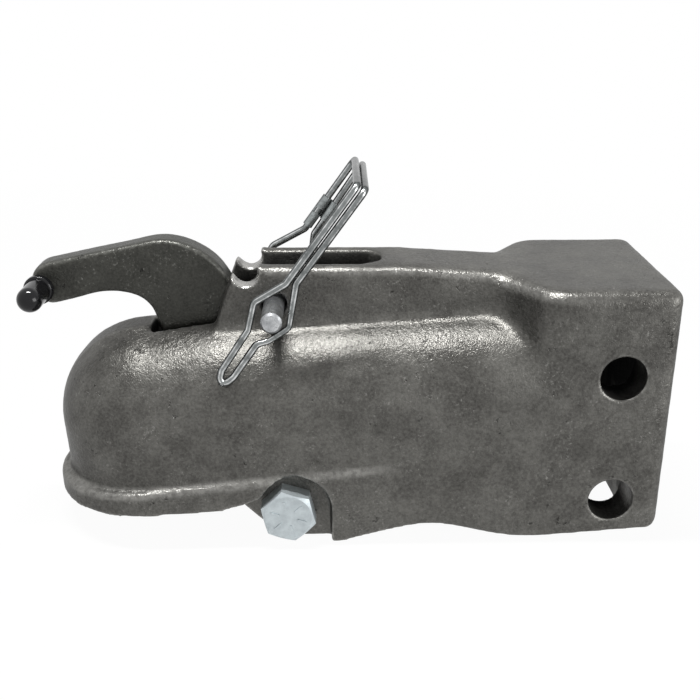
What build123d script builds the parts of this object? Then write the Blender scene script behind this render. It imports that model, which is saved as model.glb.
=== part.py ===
from build123d import *
from math import acos, asin, atan2, cos, degrees, hypot, pi, radians, sin, sqrt, tan
import os

os.makedirs("parts", exist_ok=True)

# Cast trailer coupler head for a 2 5/16 in tow ball, in millimetres.
# The origin is the centre of the ball socket. The ball end points to -X,
# the channel end to +X, +Z is up, and the part is symmetrical about Y = 0
# apart from the pivot bolt, the spring, the lock pin and its wire bail.

# Ball socket and dome
BALL_D = 58.74
SOCKET_GAP = 0.45
SOCKET_WALL = 8.68
DOME_DRAFT = 1.0
MOUTH_CHAMFER = 1.6
SOCKET_R = BALL_D / 2 + SOCKET_GAP
DOME_R = SOCKET_R + SOCKET_WALL
DOME_X = 0.7
DOME_ROOF_WALL = 6.38
DOME_TOP_Z = SOCKET_R + DOME_ROOF_WALL
DOME_CROWN = 3.0

# Bead round the mouth of the dome, which runs back along the neck and rises
BEAD_REACH = 2.9
BEAD_TOP_Z = -18.2
BEAD_SLOPE = 0.1
BEAD_ROUND = 1.8
BEAD_END_X = 100.0
MOUTH_Z = -28.0
MOUTH_SLOPE = 0.05

# Channel block at the rear
BLOCK_WIDTH = 77.0
BLOCK_REAR_X = 198.4
BLOCK_CORNER_R = 5.0
BLOCK_EDGE_R = 4.0
END_WALL = 11.0
SIDE_WALL = 9.5
ROOF_WALL = 9.0
SHOULDER_X = 157.0
FLARE_CONCAVE_R = 14.0
FLARE_CONVEX_R = 13.0
FLARE_TURN = 55.0

# Neck between the dome and the block
NECK_KNEE_X = 26.0
NECK_KNEE_RISE = 3.8
NECK_REAR_RISE = 6.0
NECK_KNEE_ROOF_Z = DOME_TOP_Z + NECK_KNEE_RISE
NECK_REAR_ROOF_Z = NECK_KNEE_ROOF_Z + NECK_REAR_RISE
NECK_REAR_SHOULDER_R = 27.0

# Spine on top of the neck, with the lever slot between its two walls
SPINE_WIDTH = 32.0
SPINE_FOOT_X = 25.8
SPINE_FRONT_X = 34.5
SPINE_HEIGHT = 17.3
SPINE_LEVEL_X = 97.0
SPINE_ABOVE_BLOCK = 3.3
SPINE_CORNER_R = 8.0
SPINE_ROUND = 3.0
SPINE_TOP_Z = NECK_REAR_ROOF_Z + SPINE_HEIGHT
BLOCK_TOP_Z = SPINE_TOP_Z - SPINE_ABOVE_BLOCK
SLOT_WIDTH = 17.2
SLOT_FRONT_X = 0.6
SLOT_FRONT_R = 2.5
SLOT_REAR_X = 90.5
NOTCH_R = 4.7
NOTCH_X = 38.9
NOTCH_SINK = 2.5

# Low rib that carries the spine's line over the dome
RIB_WIDTH = 17.0
RIB_HEIGHT = 0.7
RIB_INSET = 2.3
RIB_X = -1.0
RIB_ROUND = 1.5

# Holes for the channel bolts
CHANNEL_HOLE_D = 17.46
CHANNEL_PITCH = 50.8
CHANNEL_X = 178.6
CHANNEL_TOP_Z = 26.9

# Lower edge of the casting, from the dome to the rear
EAR_ROOT_X = 35.5
EAR_FRONT_X = 51.0
EAR_Z = -41.2
KNEE_X = 74.5
ARCH_X = 111.0
ARCH_Z = -34.2
SAG_X = 149.0
SAG_Z = -40.4
TAIL_Z = -36.9
TAIL_ROUND = 4.0

# Pivot of the latch: bolt, sleeve, spacer, washer and lock nut
PIVOT_X = 54.2
PIVOT_Z = -28.5
BOLT_D = 12.7
BOLT_HOLE_GAP = 0.25
HEX_ACROSS = 19.05
HEAD_HEIGHT = 7.9
HEAD_TURN = -17.0
HEAD_CHAMFER = 1.1
TICK_INNER_R = 3.6
TICK_LENGTH = 3.4
TICK_WIDTH = 0.8
TICK_HEIGHT = 0.3
POCKET_R = 14.0
POCKET_X = 56.7
POCKET_Z = -26.7
POCKET_DEPTH = 4.5
POCKET_RAMP_X = 28.0
POCKET_LIP_X = 37.0
NUT_POCKET_R = 15.5
WASHER_D = 26.9
WASHER_T = 2.4
NUT_HEIGHT = 11.0
COLLAR_D = 17.0
COLLAR_HEIGHT = 4.0
INSERT_T = 2.6
BOLT_TAIL = 2.5
SLEEVE_D = 16.0
SLEEVE_BORE_GAP = 0.2
SLEEVE_END_GAP = 0.15
SPACER_D = 22.0
RUNNING_GAP = 0.06
SEAT_GAP = 0.05

# Chamber behind the ball, which holds the ball clamp
CHAMBER_WIDTH = 50.0
CHAMBER_FRONT_X = 12.0
CHAMBER_REAR_REACH = 24.0
CHAMBER_ROOF_GAP = 1.2

# Ball clamp: a cup against the back of the ball, with two ears on the sleeve
CLAMP_GAP = 0.3
CLAMP_WALL = 6.2
CLAMP_WIDTH = 44.0
CLAMP_REACH = 51.5
CLAMP_LIP_ANGLE = -27.0
CLAMP_SLOT_ANGLE = 16.0
CLAMP_EAR_T = 8.0
EAR_TOP_X = 46.0
EAR_TOP_Z = 12.0
EYE_R = 12.0
CLAMP_PIN_D = 7.9
CLAMP_PIN_SPOTS = ((45.5, -12.0), (42.0, 5.0))
PEG_D = 6.0
PEG_REACH = 23.8

# Lever: a forged bar that rises through the slot and bends forward over the dome.
# Its points are (X, Z) from the crown of its hollow, where it leaves the ball upwards.
LEVER_T = 12.0
LEVER_EDGE_R = 1.8
LEVER_SIDE_GAP = 0.15
LEVER_TIP = (-41.46, 23.36)
LEVER_TIP_R = 8.4
LEVER_BACK = (29.94, 17.06)
LEVER_TOP = ((-25.16, 35.46), (-9.16, 38.76), (0.64, 40.46), (6.44, 39.86), (14.24, 36.96), (21.84, 31.36))
LEVER_UNDER = ((-20.06, 19.86), (-8.66, 17.46), (-4.96, 14.26), (-2.16, 7.56), (-0.46, 2.06))
LEVER_BALL_GAP = 1.6
LEVER_CROWN_ANGLE = 80.0
LEVER_STEP_ANGLE = 18.5

# Knob on the lever's tip
KNOB_SPOT = (-46.66, 21.36)
KNOB_D = 9.6
KNOB_LENGTH = 17.5
KNOB_COLLAR_D = 11.4
KNOB_COLLAR_T = 2.6
STUD_D = 5.0
STUD_HEAD_D = 8.6
STUD_HEAD_T = 1.8

# Lock pin through the spine, behind the lever
PIN_D = 7.94
PIN_HOLE_D = 9.9
PIN_X = 49.4
PIN_SINK = 15.2
PIN_TIP_Y = -35.5
PIN_SEAT_GAP = 0.3
PIN_CHAMFER = 0.8
PIN_GROOVE_FROM_TIP = 12.5
PIN_GROOVE_WIDTH = 0.9
PIN_GROOVE_DEPTH = 0.35
PIN_HEAD_D = 12.0
PIN_HEAD_LENGTH = 9.5
PIN_SHOULDER_GAP = 0.4

# Wire bail hung in the head of the lock pin, and its sheet clip.
# Bail stations are (distance along the leg, distance across the leg).
WIRE_D = 2.3
WIRE_BEND_R = 2.9
BAIL_LEAN = 32.0
BAIL_TOP = 58.0
BAIL_FRONT = 0.4
BAIL_REAR = 4.3
BAIL_FAR_FRONT = 0.9
BAIL_FAR_REAR = 4.3
BAIL_NEAR_TOP_Y = -30.0
BAIL_NEAR_LOW_Y = -35.8
BAIL_LOOP_FRONT = ((15.0, -2.8), (3.2, -9.0), (-6.8, -5.6), (-25.0, -6.2))
BAIL_LOOP_REAR = ((-25.0, -1.2), (-9.6, -0.3), (-6.4, 2.9), (1.5, 6.6), (17.0, 0.3))
BAIL_FOOT = -29.0
BAIL_HIP = 10.6
BAIL_HIP_HALF = 8.8
BAIL_WAIST = 23.5
BAIL_WAIST_FRONT = -1.4
BAIL_WAIST_REAR = 2.9
BAIL_END_GAP = 0.5
CROSS_HOLE_GAP = 0.15
CLIP_T = 0.8
CLIP_WIRE_GAP = 0.1
CLIP_LOW = 25.2
CLIP_HIGH = 39.4
CLIP_TAB_LOW = 30.6
CLIP_TAB_HIGH = 39.0
CLIP_WINDOW_LOW = 31.6
CLIP_WINDOW_HIGH = 34.0

# Torsion spring on the sleeve and the lug that holds its fixed leg
SPRING_WIRE_D = 2.3
SPRING_PITCH = 2.5
SPRING_WHOLE_TURNS = 2
SPRING_GAP = 0.6
SPRING_LEG = 22.0
LUG_R = 4.0
LUG_SET_BACK = 15.0
LUG_REACH = 5.5

BLOCK_HALF = BLOCK_WIDTH / 2
WIDEST_Y = max(BLOCK_HALF, DOME_R + BEAD_REACH) + 5
RIB_TOP_Z = DOME_TOP_Z + RIB_HEIGHT
RIB_R = DOME_R - RIB_INSET
NOTCH_Z = SPINE_TOP_Z - NOTCH_SINK
PIN_Z = SPINE_TOP_Z - PIN_SINK
POCKET_FLOOR_Y = BLOCK_HALF - POCKET_DEPTH
SPINE_HALF = SPINE_WIDTH / 2
SLOT_HALF = SLOT_WIDTH / 2
LEVER_HALF = LEVER_T / 2
CHAMBER_HALF = CHAMBER_WIDTH / 2
EAR_INNER_Y = LEVER_HALF + LEVER_SIDE_GAP
EAR_OUTER_Y = EAR_INNER_Y + CLAMP_EAR_T
SLEEVE_BORE_R = BOLT_D / 2 + SLEEVE_BORE_GAP
EYE_BORE_R = SLEEVE_D / 2 + RUNNING_GAP
CUP_INNER_R = SOCKET_R + CLAMP_GAP
CUP_OUTER_R = CUP_INNER_R + CLAMP_WALL
LEVER_FRONT_R = SOCKET_R + LEVER_BALL_GAP
LEVER_CROWN_X = LEVER_FRONT_R * cos(radians(LEVER_CROWN_ANGLE))
LEVER_CROWN_Z = LEVER_FRONT_R * sin(radians(LEVER_CROWN_ANGLE))
LEVER_TIP_X = LEVER_CROWN_X + LEVER_TIP[0]
LEVER_TIP_Z = LEVER_CROWN_Z + LEVER_TIP[1]
KNOB_X = LEVER_CROWN_X + KNOB_SPOT[0]
KNOB_Z = LEVER_CROWN_Z + KNOB_SPOT[1]
CHANNEL_HOLES_Z = (CHANNEL_TOP_Z, CHANNEL_TOP_Z - CHANNEL_PITCH)
PIN_HOLE_Z = PIN_Z + (PIN_HOLE_D - PIN_D) / 2 - PIN_SEAT_GAP
PIN_HEAD_Y = SPINE_HALF + PIN_SHOULDER_GAP
BAIL_FAR_Y = PIN_HEAD_Y + PIN_HEAD_LENGTH / 2
COIL_R = SLEEVE_D / 2 + SPRING_GAP + SPRING_WIRE_D / 2

SIDE_PLANE = Plane(origin=(0, 0, 0), x_dir=(1, 0, 0), z_dir=(0, -1, 0))
ALONG_BAIL = Vector(sin(radians(BAIL_LEAN)), 0, cos(radians(BAIL_LEAN)))
ACROSS_BAIL = Vector(cos(radians(BAIL_LEAN)), 0, -sin(radians(BAIL_LEAN)))


def side_extrude(face, near, far):
    """Extrude a face drawn in the X-Z side plane from Y = near to Y = far."""
    return extrude(SIDE_PLANE.offset(-near) * face, amount=near - far)


def cross_cylinder(radius, x, z, near, far):
    """A cylinder along Y between Y = near and Y = far."""
    return side_extrude(Pos(x, z) * Circle(radius), near, far)


def cross_tube(outer, inner, x, z, near, far):
    """A tube along Y between Y = near and Y = far."""
    ring = Pos(x, z) * (Circle(outer) - Circle(inner))
    return side_extrude(ring, near, far)


def closed(*points):
    """A face bounded by straight lines through the points."""
    return make_face(Polyline(*points, close=True))


def polar(radius, angle):
    """The point at a radius and an angle in degrees about the ball centre."""
    return (radius * cos(radians(angle)), radius * sin(radians(angle)))


def tangent_point(point, centre, radius, side):
    """Where the line from a point touches a circle; side is +1 or -1."""
    dx = centre[0] - point[0]
    dz = centre[1] - point[1]
    reach = hypot(dx, dz)
    heading = atan2(dz, dx) + side * asin(radius / reach)
    length = sqrt(reach ** 2 - radius ** 2)
    return (point[0] + length * cos(heading), point[1] + length * sin(heading))


def mouth_z(x):
    """Height of the casting's lower edge round the mouth, at a place along X."""
    return MOUTH_Z + MOUTH_SLOPE * x


def lower_edge():
    """Everything below the casting's lower edge, as a face in the side plane."""
    line = Polyline((-60, mouth_z(-60)), (EAR_ROOT_X, mouth_z(EAR_ROOT_X)), (EAR_FRONT_X, EAR_Z), (KNEE_X, EAR_Z))
    line += Spline((KNEE_X, EAR_Z), (ARCH_X, ARCH_Z), (SAG_X, SAG_Z), tangents=[(1, 0.25), (1, 0)])
    tail_x = BLOCK_REAR_X - TAIL_ROUND
    line += Polyline((SAG_X, SAG_Z), (tail_x, TAIL_Z))
    line += CenterArc((tail_x, TAIL_Z + TAIL_ROUND), TAIL_ROUND, -90, 90)
    line += Polyline((BLOCK_REAR_X, TAIL_Z + TAIL_ROUND), (BLOCK_REAR_X + 9, TAIL_Z + TAIL_ROUND),
                     (BLOCK_REAR_X + 9, -90), (-60, -90), (-60, mouth_z(-60)))
    return make_face(line)


def hump_face(x, half_width, roof, shoulder, floor):
    """Cross-section of the neck at X = x: upright sides under a round-shouldered roof."""
    flat = half_width - shoulder
    side = roof - shoulder
    outline = Polyline((-flat, roof), (flat, roof))
    outline += CenterArc((flat, side), shoulder, 90, -90)
    outline += Polyline((half_width, side), (half_width, floor), (-half_width, floor), (-half_width, side))
    outline += CenterArc((-flat, side), shoulder, 180, -90)
    section = Plane(origin=(x, 0, 0), x_dir=(0, 1, 0), z_dir=(1, 0, 0))
    return section * make_face(outline)


def neck_section(x, inset, floor):
    """The neck's cross-section at X = x, drawn in by inset."""
    if x < NECK_KNEE_X:
        share = (x - DOME_X) / (NECK_KNEE_X - DOME_X)
        roof = DOME_TOP_Z + share * (NECK_KNEE_ROOF_Z - DOME_TOP_Z)
    else:
        share = (x - NECK_KNEE_X) / (SHOULDER_X - NECK_KNEE_X)
        roof = NECK_KNEE_ROOF_Z + share * (NECK_REAR_ROOF_Z - NECK_KNEE_ROOF_Z)
    share = (x - DOME_X) / (SHOULDER_X - DOME_X)
    front_shoulder = DOME_R - DOME_CROWN
    half = DOME_R + share * (BLOCK_HALF - DOME_R)
    shoulder = front_shoulder + share * (NECK_REAR_SHOULDER_R - front_shoulder)
    return hump_face(x, half - inset, roof - inset, shoulder - inset, floor)


def neck():
    """The outside of the neck: a steep rise behind the dome, then a long gentle one."""
    rise = loft([neck_section(DOME_X, 0, EAR_Z), neck_section(NECK_KNEE_X, 0, EAR_Z)], ruled=True)
    run = loft([neck_section(NECK_KNEE_X, 0, EAR_Z), neck_section(SHOULDER_X, 0, EAR_Z)], ruled=True)
    return rise + run


def dome():
    """The round nose: the neck's front section turned about the socket, on a drawn-in skirt."""
    skirt_r = DOME_R - DOME_DRAFT
    shoulder = DOME_R - DOME_CROWN
    side = DOME_TOP_Z - shoulder
    outline = Polyline((DOME_CROWN, DOME_TOP_Z), (0, DOME_TOP_Z), (0, EAR_Z), (skirt_r, EAR_Z),
                       (skirt_r, BEAD_TOP_Z), (DOME_R, side))
    outline += CenterArc((DOME_CROWN, side), shoulder, 0, 90)
    return Pos(DOME_X, 0, 0) * revolve(Plane.XZ * make_face(outline), Axis.Z)


def bead():
    """The rounded bead round the mouth, run back along both sides of the neck."""
    radius = DOME_R + BEAD_REACH
    tail_half = BLOCK_HALF - 0.2
    turn = degrees(asin((tail_half - radius) / BEAD_END_X))
    nose = CenterArc((DOME_X, 0), radius, 90 + turn, 180 - 2 * turn)
    outline = nose + Polyline(nose @ 1, (BEAD_END_X, -tail_half), (BEAD_END_X, tail_half), nose @ 0)
    body = extrude(Pos(0, 0, EAR_Z) * make_face(outline), amount=-EAR_Z)
    above = closed((-60, BEAD_TOP_Z - 60 * BEAD_SLOPE), (120, BEAD_TOP_Z + 120 * BEAD_SLOPE), (120, 9), (-60, 9))
    body -= side_extrude(above, -60, 60)
    top = body.faces().sort_by(Axis.Z)[-1]
    return fillet(top.edges().sort_by(Axis.X)[:-1], BEAD_ROUND)


def block_outline():
    """Half plan of the rear block: an S-curve spreads from the spine to the full width."""
    concave_rise = FLARE_CONCAVE_R * (1 - cos(radians(FLARE_TURN)))
    convex_rise = FLARE_CONVEX_R * (1 - cos(radians(FLARE_TURN)))
    straight = BLOCK_HALF - SPINE_HALF - concave_rise - convex_rise
    arcs_run = (FLARE_CONCAVE_R + FLARE_CONVEX_R) * sin(radians(FLARE_TURN))
    front_x = SHOULDER_X - arcs_run - straight / tan(radians(FLARE_TURN))
    line = Polyline((front_x - 30, 0), (front_x - 30, SPINE_HALF), (front_x, SPINE_HALF))
    line += CenterArc((front_x, SPINE_HALF + FLARE_CONCAVE_R), FLARE_CONCAVE_R, -90, FLARE_TURN)
    bend = (SHOULDER_X - FLARE_CONVEX_R * sin(radians(FLARE_TURN)), BLOCK_HALF - convex_rise)
    line += Line(line @ 1, bend)
    line += CenterArc((SHOULDER_X, BLOCK_HALF - FLARE_CONVEX_R), FLARE_CONVEX_R, 90 + FLARE_TURN, -FLARE_TURN)
    line += Polyline((SHOULDER_X, BLOCK_HALF), (BLOCK_REAR_X, BLOCK_HALF), (BLOCK_REAR_X, 0), (front_x - 30, 0))
    return make_face(line)


def block():
    """The rear block with its flared front, round corners and round top edges."""
    half = extrude(Pos(0, 0, EAR_Z) * block_outline(), amount=BLOCK_TOP_Z - EAR_Z)
    whole = half + mirror(half, Plane.XZ)
    corners = whole.edges().filter_by(Axis.Z).group_by(Axis.X)[-1]
    whole = fillet(corners, BLOCK_CORNER_R)
    front = whole.edges().group_by(Axis.X)[0]
    rim = whole.edges().filter_by(Plane.XY).group_by(Axis.Z)[-1] - front
    return fillet(rim, BLOCK_EDGE_R)


def spine():
    """The ridge that carries the lever slot, with a raked front and round top edges."""
    low = NECK_KNEE_ROOF_Z - 12
    side = closed((SPINE_FOOT_X, low), (SPINE_FOOT_X, NECK_KNEE_ROOF_Z - 2), (SPINE_FRONT_X, SPINE_TOP_Z),
                  (SPINE_LEVEL_X, SPINE_TOP_Z), (SHOULDER_X - 8, BLOCK_TOP_Z), (SHOULDER_X - 8, low))
    body = side_extrude(side, -SPINE_HALF, SPINE_HALF)
    nose = body.edges().filter_by(Axis.Y).sort_by(Axis.Z)[-3:].sort_by(Axis.X)[0]
    body = fillet(nose, SPINE_CORNER_R)
    ends = body.faces().filter_by(Axis.Y).edges()
    rim = ends.filter_by(lambda e: (e @ 0.5).Z > NECK_KNEE_ROOF_Z and (e @ 0.5).X < SHOULDER_X - 9)
    return fillet(rim, SPINE_ROUND)


def rib():
    """The low rib over the dome, which sinks into the ball shape towards the front."""
    disc = cross_cylinder(RIB_R, RIB_X, RIB_TOP_Z - RIB_R, -RIB_WIDTH / 2, RIB_WIDTH / 2)
    disc = fillet(disc.edges(), RIB_ROUND)
    keep = Pos(SPINE_FOOT_X / 2 - 25, 0, DOME_R / 2 + 10) * Box(SPINE_FOOT_X + 50, RIB_WIDTH + 2, DOME_R)
    return disc & keep


def chamber_face():
    """Side view of the chamber that the clamp swings in, with a roof that follows the swing."""
    reach = CLAMP_REACH + CHAMBER_ROOF_GAP
    start = degrees(acos((CHAMBER_FRONT_X - PIVOT_X) / reach))
    rear = PIVOT_X + CHAMBER_REAR_REACH
    outline = CenterArc((PIVOT_X, PIVOT_Z), reach, start, 90 - start)
    outline += Polyline(outline @ 1, (rear, PIVOT_Z + reach), (rear, -60), (CHAMBER_FRONT_X, -60), outline @ 0)
    return make_face(outline)


def hollow():
    """All the space inside the casting: socket, clamp chamber, neck and block."""
    socket = Sphere(SOCKET_R) + extrude(Pos(0, 0, -60) * Circle(SOCKET_R), amount=60)
    mouth = Pos(0, 0, MOUTH_Z - 4) * Cone(SOCKET_R + MOUTH_CHAMFER + 4, SOCKET_R, 8 + 2 * MOUTH_CHAMFER)
    chamber = side_extrude(chamber_face(), -CHAMBER_HALF, CHAMBER_HALF)
    front_x = SHOULDER_X + 4
    rear_x = BLOCK_REAR_X - END_WALL
    passage = loft([neck_section(PIVOT_X + EYE_R, ROOF_WALL, -60), neck_section(front_x + 6, ROOF_WALL, -60)],
                   ruled=True)
    room = Pos((front_x + rear_x) / 2, 0, (BLOCK_TOP_Z - ROOF_WALL - 60) / 2) * Box(
        rear_x - front_x, BLOCK_WIDTH - 2 * SIDE_WALL, BLOCK_TOP_Z - ROOF_WALL + 60)
    room = fillet(room.edges().filter_by(Axis.Z), BLOCK_CORNER_R)
    return socket + mouth + chamber + passage + room


def slot():
    """The lever slot, from the dome to its round rear end."""
    plan = Pos((SLOT_FRONT_X + SLOT_REAR_X) / 2, 0) * Rectangle(SLOT_REAR_X - SLOT_FRONT_X, SLOT_WIDTH)
    plan = fillet(plan.vertices().group_by(Axis.X)[0], SLOT_FRONT_R)
    plan = fillet(plan.vertices().group_by(Axis.X)[-1], SLOT_HALF - 0.3)
    return extrude(plan, amount=SPINE_TOP_Z + 10)


def pockets():
    """The recess round the bolt head on the near side and round the nut on the far side."""
    near = Pos(POCKET_X, POCKET_Z) * Circle(POCKET_R)
    right = POCKET_X + POCKET_R
    near += closed((POCKET_RAMP_X, mouth_z(POCKET_RAMP_X)), (POCKET_LIP_X, mouth_z(POCKET_LIP_X) + 2),
                   (POCKET_X - POCKET_R + 1.5, POCKET_Z + 5.5), (right, POCKET_Z), (right, -60),
                   (POCKET_RAMP_X, -60))
    far = Pos(PIVOT_X, PIVOT_Z) * Circle(NUT_POCKET_R)
    left = PIVOT_X - NUT_POCKET_R
    far += closed((POCKET_RAMP_X, mouth_z(POCKET_RAMP_X)), (left - 2, mouth_z(left) + 2), (left + 1, PIVOT_Z + 5.5),
                  (PIVOT_X + NUT_POCKET_R, PIVOT_Z), (PIVOT_X + NUT_POCKET_R, -60), (POCKET_RAMP_X, -60))
    return side_extrude(near, -WIDEST_Y, -POCKET_FLOOR_Y) + side_extrude(far, POCKET_FLOOR_Y, WIDEST_Y)


def housing():
    """The casting."""
    body = dome() + neck() + bead() + block() + spine() + rib()
    body -= side_extrude(lower_edge(), -WIDEST_Y, WIDEST_Y)
    body -= hollow()
    body -= slot()
    body -= pockets()
    body -= cross_cylinder(NOTCH_R, NOTCH_X, NOTCH_Z, -SPINE_HALF - 1, SPINE_HALF + 1)
    body -= cross_cylinder(PIN_HOLE_D / 2, PIN_X, PIN_HOLE_Z, -SPINE_HALF - 1, SPINE_HALF + 1)
    lug_z = PIVOT_Z + COIL_R - SPRING_WIRE_D / 2 - SEAT_GAP - LUG_R
    body += cross_cylinder(LUG_R, PIVOT_X + LUG_SET_BACK, lug_z, CHAMBER_HALF - LUG_REACH, CHAMBER_HALF + 1)
    body -= cross_cylinder(BOLT_D / 2 + BOLT_HOLE_GAP, PIVOT_X, PIVOT_Z, -BLOCK_HALF, BLOCK_HALF)
    for z in CHANNEL_HOLES_Z:
        body -= cross_cylinder(CHANNEL_HOLE_D / 2, CHANNEL_X, z, -BLOCK_HALF - 1, BLOCK_HALF + 1)
    return body


def hexagon(across, turn):
    """A hexagon about the pivot, with its first corner at the angle turn."""
    corner_r = across / sqrt(3)
    corners = []
    for step in range(6):
        angle = radians(turn + 60 * step)
        corners.append((PIVOT_X + corner_r * cos(angle), PIVOT_Z + corner_r * sin(angle)))
    return closed(*corners)


def pivot_bolt():
    """The hex bolt that carries the latch, with six plain radial ticks on its head."""
    face_y = -POCKET_FLOOR_Y - HEAD_HEIGHT
    end_y = POCKET_FLOOR_Y + WASHER_T + NUT_HEIGHT + COLLAR_HEIGHT + BOLT_TAIL
    head = side_extrude(hexagon(HEX_ACROSS, HEAD_TURN), face_y, -POCKET_FLOOR_Y - SEAT_GAP)
    corner_disc = cross_cylinder(HEX_ACROSS / sqrt(3) + 0.2, PIVOT_X, PIVOT_Z, face_y, -POCKET_FLOOR_Y - SEAT_GAP)
    outer_rim = corner_disc.edges().sort_by(Axis.Y)[0]
    head &= chamfer(outer_rim, HEAD_CHAMFER, 2 * HEAD_CHAMFER)
    tick_mid = TICK_INNER_R + TICK_LENGTH / 2
    for step in range(6):
        spot = Pos(PIVOT_X, PIVOT_Z) * Rot(0, 0, HEAD_TURN + 60 * step) * Pos(tick_mid, 0)
        head += side_extrude(spot * Rectangle(TICK_LENGTH, TICK_WIDTH), face_y - TICK_HEIGHT, face_y + 0.5)
    shank = cross_cylinder(BOLT_D / 2, PIVOT_X, PIVOT_Z, -POCKET_FLOOR_Y - 1, end_y)
    shank = chamfer(shank.edges().sort_by(Axis.Y)[-1], 1.2)
    return head + shank


def lock_nut():
    """The hex lock nut with the round collar that holds its insert."""
    start = POCKET_FLOOR_Y + SEAT_GAP + WASHER_T + SEAT_GAP
    end = start + NUT_HEIGHT
    body = side_extrude(hexagon(HEX_ACROSS, HEAD_TURN + 21), start, end)
    disc = cross_cylinder(HEX_ACROSS / sqrt(3) + 0.2, PIVOT_X, PIVOT_Z, start, end)
    body &= chamfer(disc.edges(), HEAD_CHAMFER)
    collar = cross_cylinder(COLLAR_D / 2, PIVOT_X, PIVOT_Z, end - 1, end + COLLAR_HEIGHT)
    body += fillet(collar.edges().sort_by(Axis.Y)[-1], 1.4)
    body -= cross_cylinder(BOLT_D / 2 + SEAT_GAP, PIVOT_X, PIVOT_Z, start - 1, end + COLLAR_HEIGHT + 1)
    seat_r = COLLAR_D / 2 - 1.0
    return body - cross_cylinder(seat_r, PIVOT_X, PIVOT_Z, end + COLLAR_HEIGHT - INSERT_T - 0.8, end + COLLAR_HEIGHT - 0.8)


def nut_insert():
    """The friction ring inside the nut's collar."""
    end = POCKET_FLOOR_Y + 2 * SEAT_GAP + WASHER_T + NUT_HEIGHT + COLLAR_HEIGHT - 0.8 - SEAT_GAP
    seat_r = COLLAR_D / 2 - 1.0 - SEAT_GAP
    return cross_tube(seat_r, BOLT_D / 2 + SEAT_GAP, PIVOT_X, PIVOT_Z, end - INSERT_T + 2 * SEAT_GAP, end)


def nut_washer():
    """The flat washer between the casting and the nut."""
    start = POCKET_FLOOR_Y + SEAT_GAP
    return cross_tube(WASHER_D / 2, BOLT_D / 2 + 0.4, PIVOT_X, PIVOT_Z, start, start + WASHER_T)


def pivot_sleeve():
    """The hardened sleeve that the latch turns on."""
    end = CHAMBER_HALF - SLEEVE_END_GAP
    return cross_tube(SLEEVE_D / 2, SLEEVE_BORE_R, PIVOT_X, PIVOT_Z, -end, end)


def pivot_spacer():
    """The bush that fills the sleeve on the side away from the spring."""
    near = -CHAMBER_HALF + 2 * SLEEVE_END_GAP
    return cross_tube(SPACER_D / 2, EYE_BORE_R, PIVOT_X, PIVOT_Z, near, -EAR_OUTER_Y - SLEEVE_END_GAP)


def ear_plate(near, far):
    """One flat ear of the clamp, from the eye to the back of the cup."""
    eye = Pos(PIVOT_X, PIVOT_Z) * Circle(EYE_R)
    mid_r = (CUP_INNER_R + CUP_OUTER_R) / 2
    low = polar(mid_r, CLAMP_LIP_ANGLE + 2)
    high = polar(mid_r, 27)
    web = Polyline(low, high, (EAR_TOP_X, EAR_TOP_Z))
    face = make_hull(eye.edges() + web.edges())
    return side_extrude(face, near, far) - Sphere(mid_r)


def ball_clamp():
    """The cup that closes behind the ball, its two ears and their eyes."""
    half = CLAMP_WIDTH / 2
    cup = Sphere(CUP_OUTER_R) - Sphere(CUP_INNER_R)
    reach = side_extrude(Pos(PIVOT_X, PIVOT_Z) * Circle(CLAMP_REACH), -half, half)
    lip = polar(90, CLAMP_LIP_ANGLE)
    window = side_extrude(closed((0, 0), lip, (lip[0], 90), (0, 90)), -half, half)
    body = cup & reach & window
    body += ear_plate(-EAR_OUTER_Y, -EAR_INNER_Y) + ear_plate(EAR_INNER_Y, EAR_OUTER_Y)
    gap_corner = polar(60, CLAMP_SLOT_ANGLE)
    gap = closed((0, 0), gap_corner, (gap_corner[0], 90), (0, 90))
    body -= side_extrude(gap, -EAR_INNER_Y, EAR_INNER_Y)
    body -= cross_cylinder(EYE_BORE_R, PIVOT_X, PIVOT_Z, -half, half)
    for x, z in CLAMP_PIN_SPOTS:
        body -= cross_cylinder(CLAMP_PIN_D / 2 + SEAT_GAP, x, z, -half, half)
    return body


def clamp_pins():
    """The two pins that tie lever and clamp together; one ends in the spring peg."""
    pins = Part()
    for x, z in CLAMP_PIN_SPOTS:
        pins += cross_cylinder(CLAMP_PIN_D / 2, x, z, -EAR_OUTER_Y, EAR_OUTER_Y)
    peg_x, peg_z = CLAMP_PIN_SPOTS[0]
    return pins + cross_cylinder(PEG_D / 2, peg_x, peg_z, EAR_OUTER_Y - 1, PEG_REACH)


def from_crown(*points):
    """Points in the side plane, from their places measured from the crown of the lever's hollow."""
    return [(LEVER_CROWN_X + x, LEVER_CROWN_Z + z) for x, z in points]


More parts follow.
